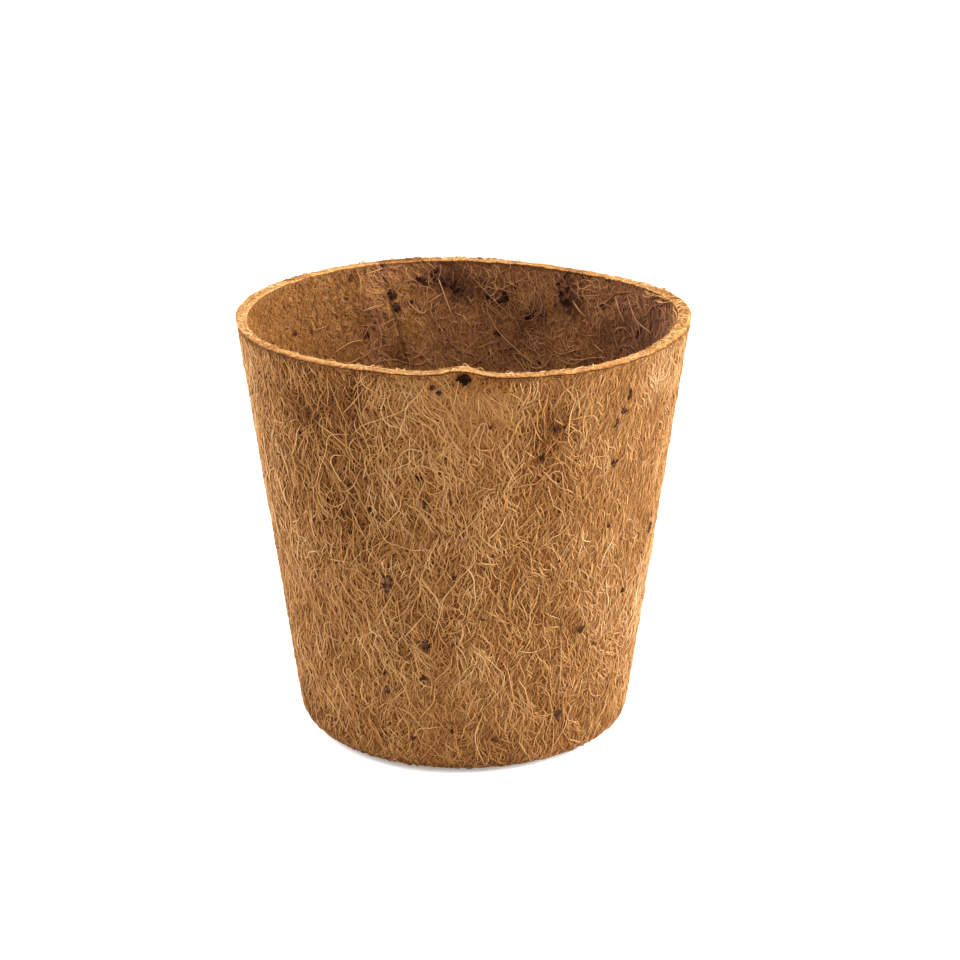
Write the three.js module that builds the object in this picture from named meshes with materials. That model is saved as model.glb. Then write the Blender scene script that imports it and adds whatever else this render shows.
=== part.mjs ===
// Coir plant pot, pressed from coconut fibre felt and bound with latex.
// Four felt petals are laid round a tapered mould so that each laps the next, their feet turn in under a
// floor disc, and the press brings laps and wall to one thickness. A latex glue line lies in every lap.
// Millimetres, +Z up. The origin is the middle of the underside, and the front faces -Y.
import * as THREE from "three";

// Driving dimensions
const rimDiameter = 100; // outside, at the rim
const baseDiameter = 74; // outside, where the lines of the wall and the floor would meet
const height = 94.7; // underside to the mean height of the cut rim
const wall = 3; // pressed felt, also where plies lap
const innerCorner = 2; // radius between floor and wall, inside
const footLength = 12; // how far the petals turn in under the floor disc
const discMargin = 1; // flat left between the floor disc's seat and the inner corner
const outerLap = 11; // how far the outer ply reaches past its seam, at the rim
const innerLap = 34; // how far the inner ply reaches past its seam, at the rim
const lapTip = 28; // height at which the inner ply starts to widen into its tongue
const tongueRoundness = 0.45; // power of the tongue's edge: below 1 gives it a round tip
const firstSeam = -14; // degrees from the front to the first seam, towards +X
const latexFilm = 0.3; // thickness of a glue line
const latexGap = 0.15; // between a glue line and the felt on either side
const latexInset = 1; // how far a glue line stops short of the felt's edges
const seamGap = 0.3; // between felt edges that butt
const facetLength = 6; // of the flats that make up the round wall
const cornerRows = 3; // levels round the bottom corner
const lowerRows = 3; // levels of the wall below the tongues

// The trimmed rim rises and falls: each wave has its count round the rim, its rise and a crest in degrees
const rimWaves = [
  { count: 1, rise: 0.32, crest: -127 },
  { count: 2, rise: 0.15, crest: 77 },
  { count: 3, rise: 0.38, crest: -28 },
  { count: 4, rise: 0.22, crest: -2 },
];
const pinch = { rise: 1.4, at: 0, width: 5 }; // small raised pinch in the rim, at the front

// Petals and seams, counted from the front towards +X
const petalNames = ["front_right", "back_right", "back_left", "front_left"];
const seamNames = ["front", "right", "back", "left"];

const petalAngle = (2 * Math.PI) / petalNames.length;
const rimRadius = rimDiameter / 2;
const slope = Math.atan2((rimDiameter - baseDiameter) / 2, height);
const outerCorner = innerCorner + wall;
const floorEdge = baseDiameter / 2 + outerCorner * Math.tan(slope) - outerCorner / Math.cos(slope);
const plyGap = latexFilm + 2 * latexGap;
const foot = (wall - plyGap) / 2; // thickness of the petals' feet, and of the floor disc above them
const footEnd = floorEdge - footLength;
const discSeat = floorEdge - discMargin; // where the feet step up to full thickness round the floor disc
const discRadius = discSeat - seamGap;
const middleFacets = Math.round((petalAngle * baseDiameter) / 2 / facetLength);
const lapFacets = Math.round((outerLap + innerLap) / facetLength);
const floorFacets = middleFacets * petalNames.length;

const rimPoint = new THREE.Vector2(rimRadius, height);
const cornerCentre = new THREE.Vector2(floorEdge, outerCorner);
const wallFoot = cornerPoint(-slope, outerCorner);

const felt = new THREE.MeshStandardMaterial({ color: 0x9f7042, roughness: 0.95, metalness: 0 });
const darkFelt = new THREE.MeshStandardMaterial({ color: 0x8a5c34, roughness: 0.95, metalness: 0 });
const latex = new THREE.MeshStandardMaterial({ color: 0xc7a25e, roughness: 0.6, metalness: 0 });

function cornerPoint(angle, radius) {
  return new THREE.Vector2(Math.cos(angle), Math.sin(angle)).multiplyScalar(radius).add(cornerCentre);
}

function rimRise(azimuth) {
  const degrees = THREE.MathUtils.radToDeg(azimuth);
  const turned = THREE.MathUtils.euclideanModulo(degrees - pinch.at + 180, 360) - 180;
  let rise = pinch.rise * Math.exp(-((turned / pinch.width) ** 2));
  for (const wave of rimWaves) {
    rise += wave.rise * Math.cos(wave.count * THREE.MathUtils.degToRad(degrees - wave.crest));
  }
  return rise;
}

// A station is one level of the pot's profile: its outer and inner point as (radius, height),
// how far it is round the bottom corner (turn) and up the wall (rise), both from 0 to 1.
function wallStation(rise) {
  const outer = wallFoot.clone().lerp(rimPoint, rise);
  const inner = outer.clone();
  inner.x -= wall / Math.cos(slope);
  return { outer, inner, turn: 1, rise };
}

function cornerStation(turn) {
  const angle = THREE.MathUtils.lerp(-Math.PI / 2, -slope, turn);
  return { outer: cornerPoint(angle, outerCorner), inner: cornerPoint(angle, innerCorner), turn, rise: 0 };
}

function footStation(outerRadius, innerRadius, thickness) {
  const outer = new THREE.Vector2(outerRadius, 0);
  const inner = new THREE.Vector2(innerRadius, thickness);
  return { outer, inner, turn: 0, rise: 0 };
}

function steps(count, make) {
  return Array.from({ length: count + 1 }, (_, index) => make(index / count));
}

// Levels of the wall, closer together at the tip, so that the tongue widens by the same amount at each one
function wallRises() {
  const riseOf = (level) => (level - wallFoot.y) / (height - wallFoot.y);
  const lower = steps(lowerRows, (share) => THREE.MathUtils.lerp(wallFoot.y, lapTip - seamGap, share));
  const tongue = steps(lapFacets, (share) => lapTip + (height - lapTip) * share ** (1 / tongueRoundness));
  return [...lower, ...tongue].map(riseOf);
}

function petalStations() {
  return [
    footStation(footEnd, footEnd, foot),
    footStation(discSeat - seamGap, discSeat, foot),
    footStation(discSeat + seamGap, discSeat, wall),
    ...steps(cornerRows, cornerStation),
    ...wallRises().slice(1).map(wallStation),
  ];
}

function tongueReach(level) {
  const aboveTip = Math.max(0, level - lapTip) / (height - lapTip);
  return (innerLap / rimRadius) * aboveTip ** tongueRoundness;
}

// Angles past the seam that the plies reach at a station: the outer ply, the inner ply and the seat cut
// for it. Under the floor the petals only butt, and above the tip the inner ply widens into a rounded tongue.
function reachAt(station) {
  const gap = seamGap / station.outer.x;
  return {
    gap,
    outer: gap + (outerLap / rimRadius) * station.turn,
    inner: gap + tongueReach(station.outer.y),
    seat: 2 * gap + tongueReach(station.outer.y + seamGap),
  };
}

function pointAt(station, azimuth, depth) {
  const flat = station.outer.clone().lerp(station.inner, depth);
  const z = flat.y + rimRise(azimuth) * station.rise ** 2;
  return new THREE.Vector3(flat.x * Math.sin(azimuth), -flat.x * Math.cos(azimuth), z);
}

// A run of section points at one depth (0 outside, 1 inside), between two azimuths
function run(station, depth, from, to, count) {
  return steps(count, (share) => pointAt(station, THREE.MathUtils.lerp(from, to, share), depth));
}

// Z-shaped section of a petal: an outer tongue before its first seam, an inner one past its second
function petalSection(station, seam) {
  const reach = reachAt(station);
  const thickness = station.outer.distanceTo(station.inner);
  const plyDepth = (thickness - plyGap) / 2 / thickness;
  const outerStart = seam - reach.outer;
  const outerEnd = outerStart + petalAngle - reach.gap;
  const innerStart = seam + reach.seat;
  const innerEnd = seam + petalAngle + reach.inner;
  return [
    ...run(station, 0, outerStart, innerStart, lapFacets),
    ...run(station, 0, innerStart, outerEnd, middleFacets).slice(1),
    ...run(station, 1 - plyDepth, outerEnd, innerEnd, lapFacets),
    ...run(station, 1, innerEnd, outerEnd, lapFacets),
    ...run(station, 1, outerEnd, innerStart, middleFacets).slice(1),
    ...run(station, plyDepth, innerStart, outerStart, lapFacets),
  ];
}

function latexSection(station, seam) {
  const reach = reachAt(station);
  const inset = latexInset / station.outer.x;
  const half = latexFilm / 2 / station.outer.distanceTo(station.inner);
  const start = seam - reach.outer + inset;
  const end = seam + reach.inner - inset;
  return [
    ...run(station, 0.5 - half, start, end, lapFacets),
    ...run(station, 0.5 + half, end, start, lapFacets),
  ];
}

// Whole numbers from one to another, up or down, both included
function span(from, to) {
  return steps(Math.abs(to - from), (share) => Math.round(THREE.MathUtils.lerp(from, to, share)));
}

// Triangles between two runs of section points that go the same way
function strip(first, second) {
  return first.slice(1).flatMap((point, index) => [
    [first[index], point, second[index + 1]],
    [first[index], second[index + 1], second[index]],
  ]);
}

// End face of a petal, in the order of the points of its section: outer tongue, middle, inner tongue
function petalCap() {
  const outerLast = lapFacets + middleFacets;
  const shelf = span(outerLast + 1, outerLast + 1 + lapFacets);
  const innerFirst = shelf.at(-1) + 1;
  const inner = span(innerFirst + outerLast, innerFirst);
  const ledge = span(innerFirst + outerLast + 1 + lapFacets, innerFirst + outerLast + 1);
  const middle = [ledge.at(-1), ...inner.slice(1, middleFacets), shelf[0]];
  return [
    ...strip(span(0, lapFacets), ledge),
    ...strip(span(lapFacets, outerLast), middle),
    [ledge.at(-1), inner[1], inner[0]],
    [inner[middleFacets - 1], shelf[0], inner[middleFacets]],
    ...strip(shelf, inner.slice(middleFacets)),
  ];
}

function latexCap() {
  return strip(span(0, lapFacets), span(2 * lapFacets + 1, lapFacets + 1));
}

// Closed skin over a stack of like sections, the first one at the bottom.
// Each four-sided patch is split along its shorter diagonal, which keeps it close to the round wall.
function loft(sections, cap) {
  const points = sections.flat();
  const size = sections[0].length;
  const lastLevel = points.length - size;
  const triangles = [];
  for (let level = 0; level < lastLevel; level += size) {
    for (let index = 0; index < size; index += 1) {
      const here = level + index;
      const next = level + ((index + 1) % size);
      const rising = points[here].distanceTo(points[next + size]);
      const falling = points[next].distanceTo(points[here + size]);
      if (rising < falling) {
        triangles.push([here, next, next + size], [here, next + size, here + size]);
      } else {
        triangles.push([here, next, here + size], [next, next + size, here + size]);
      }
    }
  }
  for (const [a, b, c] of cap) {
    triangles.push([a, c, b], [lastLevel + a, lastLevel + b, lastLevel + c]);
  }
  const geometry = new THREE.BufferGeometry().setFromPoints(points);
  geometry.setIndex(triangles.flat());
  geometry.computeVertexNormals();
  return geometry;
}

function turned(profile) {
  const points = profile.map(([radius, level]) => new THREE.Vector2(radius, level));
  return new THREE.LatheGeometry(points, floorFacets).rotateX(Math.PI / 2);
}

function named(name, geometry, material) {
  const mesh = new THREE.Mesh(geometry, material);
  mesh.name = name;
  return mesh;
}

function makeWall() {
  const group = new THREE.Group();
  const stations = petalStations();
  const filmTop = 1 - latexInset / (rimPoint.y - wallFoot.y);
  const filmStations = [...wallRises().slice(0, -1), filmTop].map(wallStation);
  petalNames.forEach((name, index) => {
    const seam = THREE.MathUtils.degToRad(firstSeam) + index * petalAngle;
    const petal = loft(stations.map((station) => petalSection(station, seam)), petalCap());
    const film = loft(filmStations.map((station) => latexSection(station, seam)), latexCap());
    group.add(named(`wall_petal_${name}`, petal, felt));
    group.add(named(`lap_latex_${seamNames[index]}`, film, latex));
  });
  return group;
}

// The floor disc fills the ring of feet, and its thinner edge lies over them
function makeFloor() {
  const group = new THREE.Group();
  const plugRadius = footEnd - seamGap;
  const ledge = wall - foot;
  const disc = [
    [0, 0],
    [plugRadius, 0],
    [plugRadius, ledge],
    [discRadius, ledge],
    [discRadius, wall],
    [0, wall],
  ];
  group.add(named("floor_disc", turned(disc), darkFelt));

  const filmStart = footEnd + latexInset;
  const filmEnd = discRadius - latexInset;
  const filmLow = foot + latexGap;
  const filmHigh = filmLow + latexFilm;
  const film = [[filmStart, filmLow], [filmEnd, filmLow], [filmEnd, filmHigh], [filmStart, filmHigh]];
  group.add(named("floor_latex", turned([...film, film[0]]), latex));
  return group;
}

const coirPot = new THREE.Group();
coirPot.add(makeWall(), makeFloor());

export default coirPot;
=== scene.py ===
import math
from functools import partial

import bpy
import numpy as np
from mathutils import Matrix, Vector, noise


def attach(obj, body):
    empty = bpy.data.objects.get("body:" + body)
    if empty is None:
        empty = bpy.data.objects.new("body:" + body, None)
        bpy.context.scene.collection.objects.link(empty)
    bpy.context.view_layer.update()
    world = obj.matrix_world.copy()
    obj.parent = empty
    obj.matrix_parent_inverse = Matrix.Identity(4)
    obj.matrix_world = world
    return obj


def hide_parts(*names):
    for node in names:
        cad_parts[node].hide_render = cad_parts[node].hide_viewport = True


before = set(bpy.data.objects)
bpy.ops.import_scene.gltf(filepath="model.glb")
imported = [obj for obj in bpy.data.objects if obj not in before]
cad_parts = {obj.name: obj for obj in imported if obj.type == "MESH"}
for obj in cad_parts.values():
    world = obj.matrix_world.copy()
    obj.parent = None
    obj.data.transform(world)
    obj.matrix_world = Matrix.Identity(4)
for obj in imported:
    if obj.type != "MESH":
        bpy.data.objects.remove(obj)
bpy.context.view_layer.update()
mm = 0.001
print("frame loaded:", len(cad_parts), "nodes")

# Form of the pot, as in the part's source
pot = {
    "rimRadius": 50 * mm,
    "baseRadius": 37 * mm,  # where the lines of wall and floor would meet
    "height": 94.7 * mm,  # mean height of the cut rim
    "wall": 3 * mm,
    "innerCorner": 2 * mm,
    "footLength": 12 * mm,  # petals turned in under the floor disc
    "discMargin": 1 * mm,
    "outerLap": 11 * mm,  # reach of the outer ply past its seam, at the rim
    "innerLap": 34 * mm,  # reach of the inner ply past its seam, at the rim
    "lapTip": 28 * mm,  # where the inner ply starts to widen
    "tongueRoundness": 0.45,
    "firstSeam": math.radians(-14),  # from the front towards +X
    "plyGap": 0.3 * mm,  # the glue line's thickness
}
petalNames = ["front_right", "back_right", "back_left", "front_left"]
rimForm = {
    # count, rise in mm and crest in degrees of the waves round the rim
    "waves": [(1, 0.32, -127), (2, 0.15, 77), (3, 0.38, -28), (4, 0.22, -2)],
    "pinchRise": 1.4 * mm,  # small raised pinch at the front
    "pinchWidth": math.radians(5),
    "lump": 0.28 * mm,  # unevenness of the cut
    "lumpSize": 1.3 * mm,
    "droop": 0.25 * mm,  # of its edges
    "droopSharpness": 6,
    "torn": 0.55 * mm,  # raggedness of the outer edge
    "tornSize": 2.4 * mm,
    "inset": 0.4 * mm,  # from the inner face to the edge of the cut
    "rows": 9,  # of the cut face, from edge to edge
    "loose": 0.1,  # loose fibre ends where it isn't frayed
    # What differs round the rim: azimuth and width in degrees, and how much
    "trims": [(-42, 20, 1.0), (26, 20, 0.7), (70, 22, 0.6), (150, 16, 0.6), (-150, 14, 0.4)],  # mm, outside
    "wear": [(-66, 22, 0.9)],  # mm, inside
    "stains": [
        (-162, 7, -0.5), (-128, 3, -0.3), (-60, 6, -0.1), (18, 5, -0.1), (96, 9, -0.12), (150, 5, -0.25),
    ],
    "frays": [(88, 24, 1.2), (-178, 14, 1.0), (35, 14, 0.7), (-16, 12, 0.6), (-60, 8, 0.3)],
}

quarter = 2 * math.pi / len(petalNames)
slope = math.atan2(pot["rimRadius"] - pot["baseRadius"], pot["height"])
outerCorner = pot["innerCorner"] + pot["wall"]
floorEdge = pot["baseRadius"] + outerCorner * math.tan(slope) - outerCorner / math.cos(slope)
wallFoot = outerCorner * (1 - math.sin(slope))  # height where the corner ends
footEnd = floorEdge - pot["footLength"]
footThickness = (pot["wall"] - pot["plyGap"]) / 2
discSeat = floorEdge - pot["discMargin"]


def awayFrom(azimuth, degrees):
    # the short way round
    return (azimuth - math.radians(degrees) + math.pi) % (2 * math.pi) - math.pi


def bumpsAt(azimuth, bumps):
    total = 0 * azimuth
    for degrees, width, amount in bumps:
        total = total + amount * np.exp(-((awayFrom(azimuth, degrees) / math.radians(width)) ** 2))
    return total


def rimRise(azimuth):
    rise = rimForm["pinchRise"] * np.exp(-((awayFrom(azimuth, 0) / rimForm["pinchWidth"]) ** 2))
    for count, crestRise, crest in rimForm["waves"]:
        rise = rise + crestRise * mm * np.cos(count * (azimuth - math.radians(crest)))
    return rise


def rimFade(level):
    # the rim's rise and fall fades out down the wall
    return np.clip((level - wallFoot) / (pot["height"] - wallFoot), 0, 1) ** 2


def tongueReach(level):
    above = np.clip((level - pot["lapTip"]) / (pot["height"] - pot["lapTip"]), 0, 1)
    return pot["innerLap"] / pot["rimRadius"] * above ** pot["tongueRoundness"]


def skinPoint(azimuth, radius, level):
    height = level + rimRise(azimuth) * rimFade(level)
    return np.stack([radius * np.sin(azimuth), -radius * np.cos(azimuth), height + 0 * azimuth], axis=-1)


def levelAt(azimuth, height):
    return height - rimRise(azimuth) * rimFade(height)


def wallRadius(level, depth):
    return pot["baseRadius"] + level * math.tan(slope) - depth / math.cos(slope)


# Stains in the felt, with painted light and shade among them: (azimuth in degrees, level in mm, size in mm,
# darker or paler). The dark ones at 92.5 to 94 mm, from -10 to 16 degrees, are painted shadow under the front
# of the rim; the pale one at -14 degrees and 91 mm is a painted sheen; the paler ones from 34 to 72 degrees
# are painted light on the right side, where the right lamp falls; the dark ones at 2 to 4 mm make the felt
# darker towards the bottom edge.
outerStainsAndPaintedLight = [
    (-38, 76, 10, -0.13), (-33, 88, 7, -0.04), (-30, 60, 7, -0.08), (-18, 38, 8, -0.07), (-6, 34, 7, -0.06),
    (21, 81, 6, -0.25), (23, 68, 6, -0.12), (6, 86, 12, 0.03), (14, 20, 9, 0.06), (-24, 56, 4, -0.05),
    (-60, 45, 12, 0.04), (35, 32, 5, -0.1), (-5, 50, 4, -0.1), (38, 76, 9, 0.1), (-14, 91, 6, 0.1),
    (14, 90, 7, 0.08), (34, 89, 7, 0.14), (52, 85, 8, 0.1), (-35, 66, 5, -0.12), (50, 62, 15, 0.1),
    (46, 32, 14, 0.11), (70, 70, 8, 0.06), (4, 30, 10, 0.04), (-66, 8, 9, -0.06), (57, 92, 7, 0.3),
    (72, 88, 8, 0.1), (68, 28, 15, 0.15), (-68, 60, 18, 0.05), (-52, 86, 7, -0.08), (-70, 4, 9, -0.14),
    (-45, 4, 8, -0.08), (-20, 2, 6, -0.1), (0, 2, 6, -0.12), (13, 2, 6, -0.12), (0.5, 92.5, 2.2, -0.3),
    (6, 93, 3, -0.12), (-8, 52, 12, 0.02), (0, 26, 9, 0.05), (-52, 62, 12, -0.07), (37, 52, 9, 0.08),
    (68, 72, 8, 0.05), (68, 40, 8, 0.06), (-22, 16, 8, -0.07), (-22, 86, 7, -0.06), (22, 89, 5, -0.07),
    (-8, 34, 6, -0.05), (-8, 68, 7, -0.05), (8, 64, 7, 0.05), (21, 8, 6, 0.05), (45, 8, 9, 0.04),
    (68, 8, 8, 0.06), (-26.3, 90, 2, -0.25), (-26.5, 86.5, 2, -0.2), (-28.8, 83, 1.8, -0.3),
    (-32.2, 86.3, 2, -0.25), (-44.8, 85.5, 2.8, -0.25), (-38.5, 90.4, 1.8, -0.15), (-40.8, 82.4, 2.4, -0.2),
    (-47.3, 71.8, 2.2, -0.2), (-47, 80.7, 2, -0.12), (-48.7, 86.7, 2, -0.12), (8, 93.6, 1.8, -0.3),
    (12, 93.6, 1.8, -0.3), (16, 94, 1.6, -0.2), (-6, 94, 1.5, -0.15), (-10, 94, 1.5, -0.15),
    (110, 60, 14, -0.2), (150, 80, 10, -0.15), (-160, 40, 14, 0.1), (-120, 70, 12, -0.2),
    (-100, 30, 10, -0.15),
]
insideStains = [
    (-177, 89, 5, -0.3), (173, 87, 4, -0.15), (-150, 82, 3.5, -0.25), (-157, 74, 4, -0.2),
    (160, 80, 5, -0.1), (149, 87, 3.5, -0.2), (-164, 80, 4, 0.1), (-158, 80, 12, 0.06), (158, 84, 12, 0.05),
    (124, 86, 9, -0.05), (112, 80, 14, -0.29), (60, 60, 12, -0.15), (20, 50, 14, 0.1), (-40, 40, 12, -0.15),
    (-174, 91.5, 3, -0.25), (179, 87.5, 3, -0.25), (167, 85.5, 2.5, -0.25), (162, 80, 3, -0.2),
    (146, 86, 3, -0.3), (148, 92, 2.5, -0.25), (157, 82, 2.5, -0.2), (165, 74, 3, -0.2),
    (118, 72, 3, -0.25), (134, 82, 3, -0.2),
]
# Smooth needled spots amid the laid fibres inside, given in the same way
needledPatches = [
    (-163, 86, 5, 0.7), (-161, 77, 5, 0.8), (-158, 70, 5, 0.6), (176, 76, 4, 0.4), (140, 76, 6, 0.4),
]
# Where more or fewer long loose strands lie on the mat, given in the same way
looseZones = [
    (-42, 70, 22, 0.9), (-30, 32, 18, 0.7), (24, 78, 9, 0.8), (38, 45, 10, 0.3), (0, 40, 14, 0.7),
    (0, 88, 13, -0.55), (54, 76, 22, -0.5), (68, 60, 24, -0.4), (46, 91, 10, -0.5),
]
# Where dark gaps and pale fibres differ more or less than elsewhere, given in the same way
contrastZones = [
    (0, 89, 13, -0.6), (54, 70, 26, -0.22), (-42, 66, 22, 0.3), (-15, 38, 14, 0.1), (12, 45, 14, 0.05),
    (62, 55, 18, -0.15), (0, 14, 14, -0.08), (46, 90, 12, -0.4),
]


def stainAt(azimuth, level, stains):
    total = 0 * azimuth * level
    for degrees, height, size, strength in stains:
        across = awayFrom(azimuth, degrees) * pot["rimRadius"] / (size * mm)
        up = (level / mm - height) / size
        total = total + strength * np.exp(-(across**2 + up**2))
    return total


lumpForm = {"finer": 2.7, "finerShare": 0.5}  # small lumps on the larger ones
noHeight = [1, 1, 0]  # lumps that stay the same from top to bottom


def lumpy(places, size):
    lumps = []
    for place in places / size:
        finer = noise.noise(Vector(place * lumpForm["finer"]))
        lumps.append(noise.noise(Vector(place)) + lumpForm["finerShare"] * finer)
    return np.array(lumps)


def paredAt(azimuth):
    # how far the rim's outer edge is pared and torn back
    edge = skinPoint(azimuth, pot["rimRadius"], pot["height"]).reshape(-1, 3) * noHeight
    torn = np.maximum(0, lumpy(edge, rimForm["tornSize"])).reshape(azimuth.shape)
    return bumpsAt(azimuth, rimForm["trims"]) * mm + torn * rimForm["torn"]


def wornAt(azimuth):
    return bumpsAt(azimuth, rimForm["wear"]) * mm


def linear(hexColour):
    # sRGB hex to linear, with alpha
    parts = [int(hexColour[i:i + 2], 16) / 255 for i in (0, 2, 4)]
    return [p / 12.92 if p <= 0.04045 else ((p + 0.055) / 1.055) ** 2.4 for p in parts] + [1]


def addNode(tree, kind, inputs=(), out=0, stops=(), **settings):
    # inputs are values or links, by name or in order, and stops are those of a colour ramp
    node = tree.nodes.new(kind)
    for name, value in settings.items():
        setattr(node, name, value)
    for key, value in inputs.items() if isinstance(inputs, dict) else enumerate(inputs):
        if isinstance(value, bpy.types.NodeSocket):
            tree.links.new(value, node.inputs[key])
        else:
            node.inputs[key].default_value = value
    if stops:
        elements = node.color_ramp.elements
        while len(elements) < len(stops):
            elements.new(0.5)
        for element, (place, hexColour) in zip(elements, stops):
            element.position = place
            element.color = linear(hexColour)
    return node.outputs[out] if node.outputs else node


def newMaterial(name):
    material = bpy.data.materials.new(name)
    material.use_nodes = True
    material.node_tree.nodes.clear()
    return material, partial(addNode, material.node_tree)


def giveSurface(add, surface):
    add("ShaderNodeOutputMaterial", {"Surface": add("ShaderNodeBsdfPrincipled", surface)})


def newTree(name, sockets):
    tree = bpy.data.node_groups.new(name, "GeometryNodeTree")
    for kind, socketNames in sockets.items():
        for socketName in socketNames:
            tree.interface.new_socket(name=socketName, in_out="INPUT", socket_type="NodeSocket" + kind)
    tree.interface.new_socket(name="Made", in_out="OUTPUT", socket_type="NodeSocketGeometry")
    return tree, partial(addNode, tree), tree.nodes.new("NodeGroupInput").outputs


def linkObject(name, data):
    made = bpy.data.objects.new(name, data)
    bpy.context.scene.collection.objects.link(made)
    return made


def placePiece(name, mesh, replaced=()):
    piece = linkObject(name, mesh)
    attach(piece, "root")
    if replaced:
        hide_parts(*replaced)
    print(name, len(mesh.polygons), "faces")
    return piece


# Camera at the photograph's viewing angle
view = {
    "target": Vector((3.63 * mm, 0, 55.65 * mm)),
    "distance": 570 * mm,
    "elevation": math.radians(18.75),
    "lens": 94.9,  # mm
    "sensor": 36,  # mm
    "frame": 960,  # points across the photograph
    "near": 0.01,
    "far": 20,
}


def makeCamera():
    camera = bpy.data.cameras.new("camera")
    camera.lens = view["lens"]
    camera.sensor_width = view["sensor"]
    camera.clip_start = view["near"]
    camera.clip_end = view["far"]
    eye = linkObject("camera", camera)
    away = Vector((0, -math.cos(view["elevation"]), math.sin(view["elevation"])))
    eye.location = view["target"] + away * view["distance"]
    eye.rotation_euler = (-away).to_track_quat("-Z", "Y").to_euler()
    bpy.context.scene.camera = eye


makeCamera()
print("camera placed")


def seenOnWall(x, y, depth, farSide):
    # azimuth and level where the sight line through a point of the photograph meets the wall's cone
    focal = view["lens"] / view["sensor"] * view["frame"]
    middle = view["frame"] / 2
    lean = view["elevation"]
    away = np.array([0, -math.cos(lean), math.sin(lean)])
    up = np.array([0, math.sin(lean), math.cos(lean)])
    eye = np.array(view["target"]) + away * view["distance"]
    sight = np.array([1, 0, 0]) * (x - middle) / focal + up * (middle - y) / focal - away
    flare = math.tan(slope)
    start = wallRadius(eye[2], depth)
    squared = sight[0] ** 2 + sight[1] ** 2 - (sight[2] * flare) ** 2
    half = eye[0] * sight[0] + eye[1] * sight[1] - start * sight[2] * flare
    left = eye[0] ** 2 + eye[1] ** 2 - start**2
    root = math.sqrt(max(0, half**2 - squared * left))
    place = eye + sight * (-half + (root if farSide else -root)) / squared
    azimuth = math.atan2(place[0], -place[1])
    return azimuth, levelAt(azimuth, place[2])


# White floor and surround, with large soft lamps on both sides and one above
studio = {
    "floorSize": 4.0,
    "floor": [(0, "f4f2ef"), (1, "ffffff")],
    "mottle": 3.0,  # patches to the metre
    "roughness": 0.8,
    "white": "ffffff",
    "glow": 0.3,  # painted light: the floor glows faintly, lifting the pot's contact shadow and lighting its lower part
    "surround": 0.8,
    "aim": Vector((0, 0, 0.06)),
    "lamps": [
        ("right", (0.92, 0.02, 0.4), 0.6, 25),
        ("left", (-0.85, 0.42, 0.45), 0.6, 18),
        ("top", (0.1, -0.5, 1.0), 0.7, 8),
    ],  # name, place, size and watts
}


def aimedLamp(name, place, size, watts):
    lamp = bpy.data.lights.new(name, "AREA")
    lamp.size = size
    lamp.energy = watts
    holder = linkObject(name, lamp)
    holder.location = place
    holder.rotation_euler = (studio["aim"] - Vector(place)).to_track_quat("-Z", "Y").to_euler()


def makeStudio():
    half = studio["floorSize"] / 2
    mesh = bpy.data.meshes.new("floor")
    corners = [(-half, -half, 0), (half, -half, 0), (half, half, 0), (-half, half, 0)]
    mesh.from_pydata(corners, [], [(0, 1, 2, 3)])
    material, add = newMaterial("paintedStudioFloor")  # matt white paint, faintly uneven, glowing faintly as painted light
    place = add("ShaderNodeTexCoord", out="Object")
    mottle = add("ShaderNodeTexNoise", {"Vector": place, "Scale": studio["mottle"]})
    giveSurface(add, {
        "Base Color": add("ShaderNodeValToRGB", [mottle], stops=studio["floor"]),
        "Roughness": studio["roughness"],
        "Emission Color": linear(studio["white"]),
        "Emission Strength": studio["glow"],
    })
    mesh.materials.append(material)
    floor = linkObject("floor", mesh)

    world = bpy.data.worlds.new("surround")
    world.use_nodes = True
    background = world.node_tree.nodes["Background"]
    background.inputs["Color"].default_value = linear(studio["white"])
    background.inputs["Strength"].default_value = studio["surround"]
    bpy.context.scene.world = world
    bpy.context.scene.view_settings.view_transform = "Standard"
    for lamp in studio["lamps"]:
        aimedLamp(*lamp)


makeStudio()
print("studio made")

# Coir felt: retted coconut fibre, needled and pressed with latex. A matt brown mat of short crossing fibres
# with dark gaps between them, stained in patches.
feltLook = {
    "fibreLength": 3.6 * mm,
    "fibreWidth": 0.42 * mm,
    "directions": [4, -24, 33, 62, -58],  # degrees from upright, of the crossing sets of fibres
    "setShift": (0.37, 0.11, 0),  # metres from one set to the next, so that none repeats another
    "fibreEdge": {"From Min": 0.5, "From Max": 0.12},  # widths from its middle, where a fibre fades out
    "fibreTone": (0.65, 0.35),  # how much fibres differ, and the darkest one
    "matTone": 0.75,  # from gap to fibre
    "patchTone": (0.36, -0.18),  # how much patches differ, and the darkest one
    "warp": 0.8 * mm,  # how far the fibres bend off their line
    "warpSize": 3.5 * mm,
    "patch": 9 * mm,
    "bump": 0.15 * mm,
    "bumpStrength": 0.8,
    "roughness": 0.9,
    "gloss": 0.1,
}


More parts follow.
